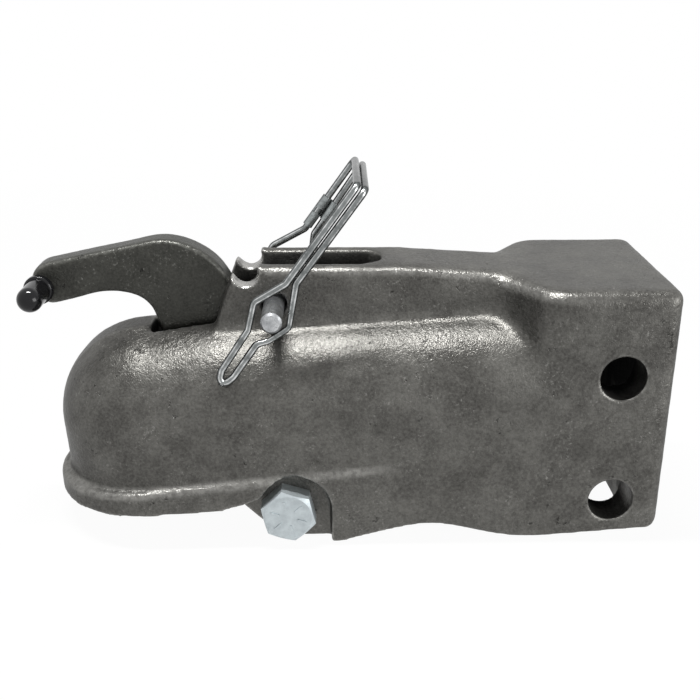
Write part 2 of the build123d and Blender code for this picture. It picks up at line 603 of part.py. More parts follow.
def lever():
    """The lever, from its eye on the sleeve to its round tip."""
    pivot = (PIVOT_X, PIVOT_Z)
    back = from_crown(LEVER_BACK)[0]
    eye_back = tangent_point(back, pivot, EYE_R, 1)
    back_run = hypot(eye_back[0] - back[0], eye_back[1] - back[1])
    back_slope = ((eye_back[0] - back[0]) / back_run, (eye_back[1] - back[1]) / back_run)
    step_out = polar(CUP_OUTER_R + 0.4, LEVER_STEP_ANGLE)
    step_low = polar(CUP_OUTER_R + 0.4, -6)
    step_mid = polar(CUP_OUTER_R + 0.4, (LEVER_STEP_ANGLE - 6) / 2)
    eye_front = tangent_point(step_low, pivot, EYE_R, -1)
    tip_top = (LEVER_TIP_X - 1.6, LEVER_TIP_Z + sqrt(LEVER_TIP_R ** 2 - 1.6 ** 2))
    tip_under = (LEVER_TIP_X - 1.0, LEVER_TIP_Z - sqrt(LEVER_TIP_R ** 2 - 1.0))
    outline = ThreePointArc(tip_under, (LEVER_TIP_X - LEVER_TIP_R, LEVER_TIP_Z), tip_top)
    outline += Spline(tip_top, *from_crown(*LEVER_TOP), back, tangents=[(1, 0.2), back_slope])
    outline += Line(back, eye_back)
    low = (PIVOT_X, PIVOT_Z - EYE_R)
    outline += ThreePointArc(eye_back, low, eye_front)
    outline += Line(eye_front, step_low)
    outline += ThreePointArc(step_low, step_mid, step_out)
    ball_low = polar(LEVER_FRONT_R, LEVER_STEP_ANGLE)
    outline += Line(step_out, ball_low)
    ball_top = polar(LEVER_FRONT_R, LEVER_CROWN_ANGLE)
    ball_mid = polar(LEVER_FRONT_R, (LEVER_CROWN_ANGLE + LEVER_STEP_ANGLE) / 2)
    outline += ThreePointArc(ball_low, ball_mid, ball_top)
    outline += Spline(ball_top, *reversed(from_crown(*LEVER_UNDER)), tip_under, tangents=[(-0.2, 1), (-1, -0.19)])
    body = side_extrude(make_face(outline), -LEVER_HALF, LEVER_HALF)
    rims = body.edges().filter_by(lambda e: (e @ 0.5).Z > DOME_TOP_Z - 6 and abs((e @ 0).Y - (e @ 1).Y) < 0.01)
    body = fillet(rims, LEVER_EDGE_R)
    body -= cross_cylinder(EYE_BORE_R, PIVOT_X, PIVOT_Z, -LEVER_T, LEVER_T)
    body -= cross_cylinder(STUD_D / 2 + SEAT_GAP, KNOB_X, KNOB_Z, -LEVER_T, LEVER_T)
    for x, z in CLAMP_PIN_SPOTS:
        body -= cross_cylinder(CLAMP_PIN_D / 2 + SEAT_GAP, x, z, -LEVER_T, LEVER_T)
    return body


def lever_knob():
    """The round-ended grip pushed on to the stud."""
    start = -LEVER_HALF - SEAT_GAP
    end = start - KNOB_LENGTH
    grip = cross_cylinder(KNOB_D / 2, KNOB_X, KNOB_Z, end, start)
    grip = fillet(grip.edges().sort_by(Axis.Y)[0], KNOB_D / 2 - 0.05)
    collar = cross_cylinder(KNOB_COLLAR_D / 2, KNOB_X, KNOB_Z, start - KNOB_COLLAR_T, start)
    grip += fillet(collar.edges().sort_by(Axis.Y)[0], 1.2)
    return grip - cross_cylinder(STUD_D / 2 + SEAT_GAP, KNOB_X, KNOB_Z, end + KNOB_D / 2, start + 1)


def knob_stud():
    """The headed stud through the lever's tip."""
    head_y = LEVER_HALF + SEAT_GAP
    end = -LEVER_HALF - KNOB_LENGTH + KNOB_D / 2 + SEAT_GAP
    stud = cross_cylinder(STUD_D / 2, KNOB_X, KNOB_Z, end, head_y + 0.5)
    head = cross_cylinder(STUD_HEAD_D / 2, KNOB_X, KNOB_Z, head_y, head_y + STUD_HEAD_T)
    return stud + fillet(head.edges().sort_by(Axis.Y)[-1], 1.0)


def lock_pin():
    """The lock pin: chamfered tip, witness groove, and a head with a cross hole."""
    shank = cross_cylinder(PIN_D / 2, PIN_X, PIN_Z, PIN_TIP_Y, PIN_HEAD_Y + 1)
    shank = chamfer(shank.edges().sort_by(Axis.Y)[0], PIN_CHAMFER)
    groove_y = PIN_TIP_Y + PIN_GROOVE_FROM_TIP
    shank -= cross_tube(PIN_D, PIN_D / 2 - PIN_GROOVE_DEPTH, PIN_X, PIN_Z, groove_y, groove_y + PIN_GROOVE_WIDTH)
    head = cross_cylinder(PIN_HEAD_D / 2, PIN_X, PIN_Z, PIN_HEAD_Y, PIN_HEAD_Y + PIN_HEAD_LENGTH)
    head = chamfer(head.edges(), PIN_CHAMFER)
    across = Plane(origin=(PIN_X, BAIL_FAR_Y, PIN_Z), x_dir=(0, 1, 0), z_dir=ACROSS_BAIL)
    hole = across * Cylinder(WIRE_D / 2 + CROSS_HOLE_GAP, 2 * PIN_HEAD_D)
    return shank + head - hole


def on_bail(along, across, y):
    """A point given along and across the bail's legs, at Y = y."""
    return Vector(PIN_X, y, PIN_Z) + ALONG_BAIL * along + ACROSS_BAIL * across


def near_y(along):
    """How far out the near leg stands at a distance along it."""
    share = (BAIL_TOP - along) / (BAIL_TOP - BAIL_FOOT)
    return BAIL_NEAR_TOP_Y + share * (BAIL_NEAR_LOW_Y - BAIL_NEAR_TOP_Y)


def bent_line(points, radius):
    """Straight runs through the points, with a bend of the given radius at each corner."""
    path = []
    start = points[0]
    for corner, after in zip(points[1:-1], points[2:]):
        into = (corner - start).normalized()
        out = (after - corner).normalized()
        half_turn = acos(max(-1, min(1, into.dot(out)))) / 2
        cut = radius * tan(half_turn)
        bend_in = corner - into * cut
        bend_out = corner + out * cut
        inward = (out - into).normalized()
        middle = corner + inward * (radius / cos(half_turn) - radius)
        path += [Line(start, bend_in), ThreePointArc(bend_in, middle, bend_out)]
        start = bend_out
    path.append(Line(start, points[-1]))
    return Wire([piece.edge() for piece in path])


def far_across(along, waist, top):
    """Where a far wire stands across the leg, between its waist and the crossbar."""
    return waist + (top - waist) * (along - BAIL_WAIST) / (BAIL_TOP - BAIL_WAIST)


def bail_wire():
    """The one bent wire: both ends in the pin's head, over the spine, looped past the tip."""
    end_across = WIRE_D / 2 + BAIL_END_GAP
    far = BAIL_FAR_Y
    foot_mid = (BAIL_LOOP_FRONT[-1][1] + BAIL_LOOP_REAR[0][1]) / 2
    foot_half = (BAIL_LOOP_REAR[0][1] - BAIL_LOOP_FRONT[-1][1]) / 4
    stations = [on_bail(0, -end_across, far), on_bail(0, -BAIL_HIP_HALF, far)]
    stations += [on_bail(BAIL_HIP, -BAIL_HIP_HALF, far), on_bail(BAIL_WAIST, BAIL_WAIST_FRONT, far)]
    stations += [on_bail(BAIL_TOP, BAIL_FAR_FRONT, far), on_bail(BAIL_TOP, BAIL_FRONT, BAIL_NEAR_TOP_Y)]
    stations += [on_bail(s, t, near_y(s)) for s, t in BAIL_LOOP_FRONT]
    stations += [on_bail(BAIL_FOOT, foot_mid - foot_half, near_y(BAIL_FOOT)),
                 on_bail(BAIL_FOOT, foot_mid + foot_half, near_y(BAIL_FOOT))]
    stations += [on_bail(s, t, near_y(s)) for s, t in BAIL_LOOP_REAR]
    stations += [on_bail(BAIL_TOP, BAIL_REAR, BAIL_NEAR_TOP_Y), on_bail(BAIL_TOP, BAIL_FAR_REAR, far)]
    stations += [on_bail(BAIL_WAIST, BAIL_WAIST_REAR, far), on_bail(BAIL_HIP, BAIL_HIP_HALF, far)]
    stations += [on_bail(0, BAIL_HIP_HALF, far), on_bail(0, end_across, far)]
    path = bent_line(stations, WIRE_BEND_R)
    section = Plane(origin=path @ 0, z_dir=path % 0) * Circle(WIRE_D / 2)
    return sweep(section, path=path)


def clip_roll(waist, top, low, high):
    """A length of sheet rolled round one far wire, and the plane it stands on."""
    inner = WIRE_D / 2 + CLIP_WIRE_GAP
    start = on_bail(low, far_across(low, waist, top), BAIL_FAR_Y)
    end = on_bail(high, far_across(high, waist, top), BAIL_FAR_Y)
    plane = Plane(origin=start, x_dir=(0, 1, 0), z_dir=end - start)
    return extrude(plane * (Circle(inner + CLIP_T) - Circle(inner)), amount=(end - start).length)


def bail_clip():
    """The sheet clip: a web behind the far wires, rolled round each of them."""
    inner = WIRE_D / 2 + CLIP_WIRE_GAP
    outer = inner + CLIP_T
    front = clip_roll(BAIL_WAIST_FRONT, BAIL_FAR_FRONT, CLIP_LOW, CLIP_HIGH)
    rear = clip_roll(BAIL_WAIST_REAR, BAIL_FAR_REAR, CLIP_TAB_LOW, CLIP_TAB_HIGH)
    middle = (CLIP_TAB_LOW + CLIP_TAB_HIGH) / 2
    front_t = far_across(middle, BAIL_WAIST_FRONT, BAIL_FAR_FRONT)
    rear_t = far_across(middle, BAIL_WAIST_REAR, BAIL_FAR_REAR)

    def block(low, high, across, across_size, y, y_size):
        plane = Plane(origin=on_bail((low + high) / 2, across, y), x_dir=ACROSS_BAIL, z_dir=ALONG_BAIL)
        return plane * Box(across_size, y_size, high - low)

    half_gap = (rear_t - front_t) / 2
    centre_t = (front_t + rear_t) / 2
    mouth = block(CLIP_LOW - 1, CLIP_HIGH + 1, centre_t, 2 * half_gap - 2 * inner + 1.2, BAIL_FAR_Y, 1.6)
    web_y = BAIL_FAR_Y + (inner + outer) / 2
    web = block(CLIP_TAB_LOW, CLIP_TAB_HIGH, centre_t, 2 * half_gap, web_y, CLIP_T)
    window = block(CLIP_WINDOW_LOW, CLIP_WINDOW_HIGH, front_t - 1, 2 * outer, BAIL_FAR_Y - outer, 1.6 * outer)
    return front + rear - mouth + web - window


def return_spring():
    """The torsion spring: one leg on the peg of the clamp, one on the casting's lug."""
    peg_x, peg_z = CLAMP_PIN_SPOTS[0]
    peg_reach = hypot(peg_x - PIVOT_X, peg_z - PIVOT_Z)
    peg_angle = degrees(atan2(peg_z - PIVOT_Z, peg_x - PIVOT_X))
    stand_off = PEG_D / 2 + SPRING_WIRE_D / 2 + SEAT_GAP
    moving_angle = peg_angle - degrees(acos((COIL_R - stand_off) / peg_reach))
    sweep_angle = 360 * SPRING_WHOLE_TURNS + moving_angle - 90
    leg_drift = SPRING_LEG * SPRING_PITCH / (2 * pi * COIL_R)
    start_y = EAR_OUTER_Y + SLEEVE_END_GAP + SPRING_WIRE_D / 2 + leg_drift
    rise = SPRING_PITCH * sweep_angle / 360
    coil = Helix(SPRING_PITCH, rise, COIL_R)
    moving_leg = Line(coil @ 0 - (coil % 0) * SPRING_LEG, coil @ 0)
    fixed_leg = Line(coil @ 1, coil @ 1 + (coil % 1) * SPRING_LEG)
    path = Wire([moving_leg.edge(), coil.edge(), fixed_leg.edge()])
    body = sweep(Plane(origin=path @ 0, z_dir=path % 0) * Circle(SPRING_WIRE_D / 2), path=path)
    stand = Plane(origin=(PIVOT_X, start_y, PIVOT_Z), z_dir=(0, 1, 0),
                  x_dir=(cos(radians(moving_angle)), 0, sin(radians(moving_angle))))
    return stand * body


parts = {
    "housing": housing(),
    "lever": lever(),
    "ball_clamp": ball_clamp(),
    "clamp_pins": clamp_pins(),
    "pivot_bolt": pivot_bolt(),
    "pivot_sleeve": pivot_sleeve(),
    "pivot_spacer": pivot_spacer(),
    "nut_washer": nut_washer(),
    "lock_nut": lock_nut(),
    "nut_insert": nut_insert(),
    "return_spring": return_spring(),
    "lever_knob": lever_knob(),
    "knob_stud": knob_stud(),
    "lock_pin": lock_pin(),
    "bail_wire": bail_wire(),
    "bail_clip": bail_clip(),
}

for name, shape in parts.items():
    shape.label = name
    export_step(shape, f"parts/{name}.step")
    print(name, "solids", len(shape.solids()), "volume", round(shape.volume))
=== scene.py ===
"""Dresses a cast trailer coupler head: its casting, latch, pivot, lock pin and wire bail."""

import logging
import math
from dataclasses import dataclass
from enum import Enum
from typing import Any, Callable, Iterable, Optional

import bpy
import numpy as np
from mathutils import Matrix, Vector
from mathutils.bvhtree import BVHTree

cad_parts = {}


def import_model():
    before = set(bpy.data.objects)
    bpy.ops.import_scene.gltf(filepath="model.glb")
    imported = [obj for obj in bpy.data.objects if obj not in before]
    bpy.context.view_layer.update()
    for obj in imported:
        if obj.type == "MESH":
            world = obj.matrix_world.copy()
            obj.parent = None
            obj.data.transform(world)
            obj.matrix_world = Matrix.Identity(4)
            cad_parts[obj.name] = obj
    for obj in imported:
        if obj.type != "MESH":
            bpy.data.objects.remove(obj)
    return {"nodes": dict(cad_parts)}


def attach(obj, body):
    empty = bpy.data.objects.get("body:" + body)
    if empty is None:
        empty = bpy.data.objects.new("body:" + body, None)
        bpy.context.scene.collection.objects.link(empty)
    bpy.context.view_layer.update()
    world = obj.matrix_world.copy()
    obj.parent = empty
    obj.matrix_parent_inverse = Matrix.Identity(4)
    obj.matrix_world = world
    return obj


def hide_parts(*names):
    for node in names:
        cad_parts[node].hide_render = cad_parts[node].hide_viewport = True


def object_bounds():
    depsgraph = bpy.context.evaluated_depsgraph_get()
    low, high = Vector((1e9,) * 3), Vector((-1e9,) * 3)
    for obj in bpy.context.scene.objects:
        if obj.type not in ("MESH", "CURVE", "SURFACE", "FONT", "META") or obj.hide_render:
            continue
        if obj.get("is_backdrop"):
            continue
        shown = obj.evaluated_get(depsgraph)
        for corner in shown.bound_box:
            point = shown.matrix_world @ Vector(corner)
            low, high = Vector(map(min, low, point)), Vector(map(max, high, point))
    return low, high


Colour = tuple[float, float, float]
Point = tuple[float, float, float]
Span = tuple[float, float]
Share = Callable[[np.ndarray], np.ndarray]

LOG = logging.getLogger("coupler")
MM = 0.001
RAY_START = 0.4 * MM
RAY_LEAN = 1.02
SKY: tuple[Point, ...] = tuple((x, y, z) for x in (1, -1) for y in (1, -1) for z in (1, -1))


class Turned(Enum):
    """The axis that a turned or drawn metal piece has its fine lines around."""

    ALONG_Y = (0.06, 1.0, 0.06)
    NO_LINES = (1.0, 1.0, 1.0)


class Graph:
    """A small helper that adds shader nodes to a tree and links them."""

    def __init__(self, tree: bpy.types.NodeTree) -> None:
        """Keep the tree that nodes are added to.

        Args:
            tree: A material's or a group's node tree.
        """
        self.tree = tree
        self.column = 0

    def add(self, kind: str, **settings: Any) -> bpy.types.Node:
        """Add a node.

        Args:
            kind: The node's class name.
            **settings: Properties of the node, by name.

        Returns:
            The new node.
        """
        node = self.tree.nodes.new(kind)
        node.location = (self.column * 190, 0)
        self.column += 1
        for name, value in settings.items():
            setattr(node, name, value)
        return node

    def feed(self, node: bpy.types.Node, **values: Any) -> bpy.types.Node:
        """Set or link a node's inputs.

        Args:
            node: The node to feed.
            **values: Input names, with underscores for spaces, and a value or an output socket.

        Returns:
            The same node.
        """
        for name, value in values.items():
            socket = self.socket(node.inputs, name)
            if isinstance(value, bpy.types.NodeSocket):
                self.tree.links.new(value, socket)
            else:
                socket.default_value = value
        return node

    @staticmethod
    def socket(sockets: Any, name: str) -> bpy.types.NodeSocket:
        """Find an enabled socket by its name or by i and its number.

        Args:
            sockets: A node's inputs or outputs.
            name: The socket's name with underscores for spaces, or i0, i1 and so on.

        Returns:
            The socket.
        """
        if name[0] == "i" and name[1:].isdigit():
            return sockets[int(name[1:])]
        wanted = name.replace("_", " ")
        return next(s for s in sockets if s.name == wanted and s.enabled)

    def maths(
        self, operation: str, first: Any, second: Any, clamp: bool = False
    ) -> bpy.types.NodeSocket:
        """Add a Math node.

        Args:
            operation: The sum to do, by the node's own name for it.
            first: The first number or socket.
            second: The second number or socket.
            clamp: Whether the result is kept from 0 to 1.

        Returns:
            The result's socket.
        """
        node = self.add("ShaderNodeMath", operation=operation, use_clamp=clamp)
        self.feed(node, i0=first, i1=second)
        return node.outputs[0]

    def blend(self, factor: Any, first: Any, second: Any, how: str = "MIX") -> bpy.types.NodeSocket:
        """Add a colour Mix node.

        Args:
            factor: The share of the second colour.
            first: The first colour or socket.
            second: The second colour or socket.
            how: The node's way of mixing.

        Returns:
            The colour's socket.
        """
        node = self.add("ShaderNodeMix", data_type="RGBA", blend_type=how, clamp_factor=True)
        self.feed(node, Factor=factor)
        for socket, value in zip([s for s in node.inputs if s.type == "RGBA"], (first, second)):
            if isinstance(value, bpy.types.NodeSocket):
                self.tree.links.new(value, socket)
            else:
                socket.default_value = (*value[:3], 1.0)
        return next(s for s in node.outputs if s.type == "RGBA")

    def spread(
        self, value: Any, low: float, high: float, to_low: float = 0.0, to_high: float = 1.0
    ) -> bpy.types.NodeSocket:
        """Add a clamped Map Range node.

        Args:
            value: The value to spread.
            low: The value that becomes to_low.
            high: The value that becomes to_high.
            to_low: The result at the low end.
            to_high: The result at the high end.

        Returns:
            The result's socket.
        """
        node = self.add("ShaderNodeMapRange", clamp=True)
        self.feed(node, Value=value, From_Min=low, From_Max=high, To_Min=to_low, To_Max=to_high)
        return node.outputs[0]

    def noise(
        self, vector: Any, scale: Any, detail: float = 2.0, roughness: float = 0.5
    ) -> bpy.types.NodeSocket:
        """Add a noise texture.

        Args:
            vector: Where the pattern is read.
            scale: Waves per metre.
            detail: How many finer layers it has.
            roughness: How strong each finer layer is.

        Returns:
            The noise's socket.
        """
        node = self.add("ShaderNodeTexNoise", noise_dimensions="3D")
        self.feed(node, Vector=vector, Scale=scale, Detail=detail, Roughness=roughness)
        return node.outputs[0]

    def mask(self, name: str) -> bpy.types.NodeSocket:
        """Add an Attribute node that reads one of the piece's own masks."""
        return self.add("ShaderNodeAttribute", attribute_name=name).outputs["Fac"]

    def stretched(self, vector: Any, scale: Point) -> bpy.types.NodeSocket:
        """Add a Mapping node that stretches a pattern.

        Args:
            vector: Where the pattern is read.
            scale: The factor along each axis.

        Returns:
            The stretched place's socket.
        """
        node = self.add("ShaderNodeMapping")
        self.feed(node, Vector=vector, Scale=scale)
        return node.outputs[0]


def new_group(
    name: str, inputs: dict[str, Any], outputs: Iterable[str]
) -> tuple[bpy.types.NodeTree, Graph, Any, Any]:
    """Start a shader node group.

    Args:
        name: The group's name.
        inputs: Input names, each with its default number, or None for a vector.
        outputs: Names of the number outputs.

    Returns:
        The group's tree, its graph, and its input and output nodes.
    """
    tree = bpy.data.node_groups.new(name, "ShaderNodeTree")
    for title, value in inputs.items():
        kind = "NodeSocketVector" if value is None else "NodeSocketFloat"
        socket = tree.interface.new_socket(title, in_out="INPUT", socket_type=kind)
        if value is not None:
            socket.default_value = value
    for title in outputs:
        tree.interface.new_socket(title, in_out="OUTPUT", socket_type="NodeSocketFloat")
    graph = Graph(tree)
    return tree, graph, graph.add("NodeGroupInput"), graph.add("NodeGroupOutput")


@dataclass(frozen=True)
class SandGrain:
    """The shared pattern of a sand-cast skin, with its scales in waves per metre."""

    fine_height: float = 0.42
    middle_scale: float = 0.33
    middle_height: float = 0.45
    swell_scale: float = 55.0
    swell_height: float = 1.2
    cloud_scale: float = 48.0
    spot_scale: float = 300.0
    spot_range: Span = (0.63, 0.69)
    spot_field: float = 60.0
    spot_field_range: Span = (0.5, 0.6)
    pit_depth: float = 0.9
    chip_scale: float = 800.0
    chip_range: Span = (0.57, 0.68)
    chip_field: float = 90.0
    chip_field_range: Span = (0.46, 0.64)
    sand_scale: float = 1000.0

    def build(self) -> bpy.types.NodeTree:
        """Build the group.

        Returns:
            The group, which gives the height and the masks of painted glints, clouds, pits and sand.
        """
        tree, graph, given, out = new_group(
            "sand_grain",
            {"Vector": None, "Grain": 1500.0, "Pitting": 0.5},
            ("Height", "Glint", "Cloud", "Pit", "Sand"),
        )
        vector, grain = given.outputs["Vector"], given.outputs["Grain"]
        fine = graph.noise(vector, grain, 1.0, 0.5)
        middle = graph.noise(vector, graph.maths("MULTIPLY", grain, self.middle_scale), 1.0, 0.5)
        swell = graph.noise(vector, self.swell_scale, 3.0, 0.55)
        cloud = graph.noise(vector, self.cloud_scale, 8.0, 0.78)
        spots = graph.spread(graph.noise(vector, self.spot_scale, 4.0, 0.65), *self.spot_range)
        sparse = graph.spread(graph.noise(vector, self.spot_field, 2.0, 0.5), *self.spot_field_range)
        pit = graph.maths("MULTIPLY", spots, sparse)
        pit = graph.maths("MULTIPLY", pit, given.outputs["Pitting"], True)
        fine = graph.maths("MULTIPLY", fine, self.fine_height)
        middle = graph.maths("MULTIPLY", middle, self.middle_height)
        height = graph.maths("ADD", fine, middle)
        height = graph.maths("ADD", height, graph.maths("MULTIPLY", swell, self.swell_height))
        height = graph.maths("SUBTRACT", height, graph.maths("MULTIPLY", pit, self.pit_depth))
        # These specks become painted glints in the finish.
        chips = graph.spread(graph.noise(vector, self.chip_scale, 4.0, 0.75), *self.chip_range)
        field = graph.spread(graph.noise(vector, self.chip_field, 3.0, 0.6), *self.chip_field_range)
        glint = graph.maths("MULTIPLY", chips, field)
        sand = graph.noise(vector, self.sand_scale, 3.0, 0.7)
        graph.feed(out, Height=height, Glint=glint, Cloud=cloud, Pit=pit, Sand=sand)
        return tree


@dataclass(frozen=True)
class RubAndHighlightEdge:
    """The shared pattern that breaks up a mask of rubbed edges and painted edge highlights."""

    ragged_scale: float = 420.0
    ragged_range: Span = (0.38, 0.6)
    least: float = 0.35

    def build(self) -> bpy.types.NodeTree:
        """Build the group.

        Returns:
            The group, which gives the share of rubbed wear and painted highlight.
        """
        tree, graph, given, out = new_group(
            "rub_and_highlight_edge", {"Vector": None, "Edge": 0.0, "Amount": 0.5}, ("Rub",)
        )
        ragged = graph.noise(given.outputs["Vector"], self.ragged_scale, 4.0, 0.65)
        ragged = graph.spread(ragged, *self.ragged_range, self.least, 1.0)
        rub_and_highlight_share = graph.maths("MULTIPLY", given.outputs["Edge"], ragged)
        graph.feed(out, Rub=graph.maths("MULTIPLY", rub_and_highlight_share, given.outputs["Amount"], True))
        return tree


@dataclass(frozen=True)
class ZincSkin:
    """The shared pattern of zinc plating: fine lines, dull bloom and speckle."""

    line_scale: float = 5200.0
    line_height: float = 0.5
    bloom_scale: float = 260.0
    dot_scale: float = 2100.0
    dot_height: float = 0.3
    dot_range: Span = (0.5, 0.68)

    def build(self) -> bpy.types.NodeTree:
        """Build the group.

        Returns:
            The group, which gives the height and the masks of bloom and specks.
        """
        tree, graph, given, out = new_group(
            "zinc_skin", {"Vector": None, "Lined": None, "Speckle": 0.5}, ("Height", "Bloom", "Speck")
        )
        lines = graph.noise(given.outputs["Lined"], self.line_scale, 2.0, 0.5)
        bloom = graph.noise(given.outputs["Vector"], self.bloom_scale, 4.0, 0.65)
        dots = graph.noise(given.outputs["Vector"], self.dot_scale, 2.0, 0.6)
        speck = graph.spread(dots, *self.dot_range)
        speck = graph.maths("MULTIPLY", speck, given.outputs["Speckle"], True)
        lines = graph.maths("MULTIPLY", lines, self.line_height)
        height = graph.maths("ADD", lines, graph.maths("MULTIPLY", dots, self.dot_height))
        graph.feed(out, Height=height, Bloom=bloom, Speck=speck)
        return tree


@dataclass
class Groups:
    """The node groups that several finishes share, each built once."""

    grain: Optional[bpy.types.NodeTree] = None
    rub_and_highlight: Optional[bpy.types.NodeTree] = None
    zinc: Optional[bpy.types.NodeTree] = None

    def build(self) -> None:
        """Build the three groups."""
        self.grain = SandGrain().build()
        self.rub_and_highlight = RubAndHighlightEdge().build()
        self.zinc = ZincSkin().build()


GROUPS = Groups()


def start_material(name: str) -> tuple[bpy.types.Material, Graph, bpy.types.Node]:
    """Start a node material with one Principled shader.

    Args:
        name: The material's name.

    Returns:
        The material, its graph and its shader node.
    """
    material = bpy.data.materials.new(name)
    material.use_nodes = True
    shader = material.node_tree.nodes["Principled BSDF"]
    return material, Graph(material.node_tree), shader


@dataclass(frozen=True)
class CastFinish:
    """As-cast iron or steel with a sandy grain, cloudy patches, pits, rubbed edges, painted glints,
    painted edge highlights and painted shade in hollows.
    """

    name: str
    light: Colour
    dark: Colour
    rub_and_highlight: Colour
    cut: Colour
    metallic: float = 0.7
    roughness: float = 0.34
    edge_tint: float = 0.55
    grain: float = 1900.0
    pitting: float = 0.8
    relief: float = 0.34
    glint: float = 0.55
    wear_and_highlight: float = 0.8
    cloud_share: float = 0.5
    cloud_range: Span = (0.4, 0.6)
    cloud_roughness: float = 0.12
    sand_range: Span = (0.35, 0.65)
    pit_share: float = 0.75
    cut_share: float = 0.85
    cut_shine: float = 0.08
    cut_relief: float = 0.15
    # Painted shade: the near-black colour that hollows take on where the deep mask is high.
    painted_hollow_shade: Colour = (0.004, 0.004, 0.004)
    hollow_range: Span = (0.2, 0.7)
    hollow_roughness: float = 0.4

    def material(self) -> bpy.types.Material:
        """Build the material.

        Returns:
            The finished material.
        """
        made, graph, shader = start_material(self.name)
        place = graph.add("ShaderNodeTexCoord").outputs["Object"]
        grain = graph.add("ShaderNodeGroup", node_tree=GROUPS.grain)
        graph.feed(grain, Vector=place, Grain=self.grain, Pitting=self.pitting)
        edge = graph.mask("edge")
        rub_and_highlight_share = graph.add("ShaderNodeGroup", node_tree=GROUPS.rub_and_highlight)
        graph.feed(rub_and_highlight_share, Vector=place, Edge=edge, Amount=self.wear_and_highlight)
        cut, deep = graph.mask("cut"), graph.mask("deep")
        cloud = graph.spread(grain.outputs["Cloud"], *self.cloud_range)
        sand = graph.spread(grain.outputs["Sand"], *self.sand_range)
        cloud_part = graph.maths("MULTIPLY", cloud, self.cloud_share)
        sand_part = graph.maths("MULTIPLY", sand, 1.0 - self.cloud_share)
        glint = graph.maths("MULTIPLY", grain.outputs["Glint"], self.glint)
        pit = graph.maths("MULTIPLY", grain.outputs["Pit"], self.pit_share)
        colour = graph.blend(graph.maths("ADD", cloud_part, sand_part), self.dark, self.light)
        # Painted glints: pale specks that stand in for sparkling light.
        colour = graph.blend(glint, colour, self.rub_and_highlight)
        # Rubbed wear on outward edges, plus on the casting a painted highlight on the bead ledge and
        # the top edges.
        colour = graph.blend(rub_and_highlight_share.outputs["Rub"], colour, self.rub_and_highlight)
        colour = graph.blend(graph.maths("MULTIPLY", cut, self.cut_share), colour, self.cut)
        colour = graph.blend(pit, colour, self.dark, "MULTIPLY")
        # Painted shade: the colour is drawn towards near black deep in hollows.
        colour = graph.blend(graph.spread(deep, *self.hollow_range), colour, self.painted_hollow_shade)
        rough = graph.maths("MULTIPLY", cloud, self.cloud_roughness)
        rough = graph.maths("ADD", rough, self.roughness - 0.5 * self.cloud_roughness)
        rough = graph.maths("SUBTRACT", rough, graph.maths("MULTIPLY", cut, self.cut_shine), True)
        dull = graph.spread(deep, *self.hollow_range, 0.0, self.hollow_roughness)
        rough = graph.maths("ADD", rough, dull, True)
        bump = graph.add("ShaderNodeBump")
        calm = graph.spread(cut, 0.0, 1.0, 1.0, self.cut_relief)
        height = graph.maths("MULTIPLY", grain.outputs["Height"], calm)
        graph.feed(bump, Height=height, Strength=1.0, Distance=self.relief * MM)
        graph.feed(shader, Base_Color=colour, Roughness=rough, Metallic=self.metallic)
        graph.feed(shader, Normal=bump.outputs[0], Specular_Tint=(*[self.edge_tint] * 3, 1.0))
        return made


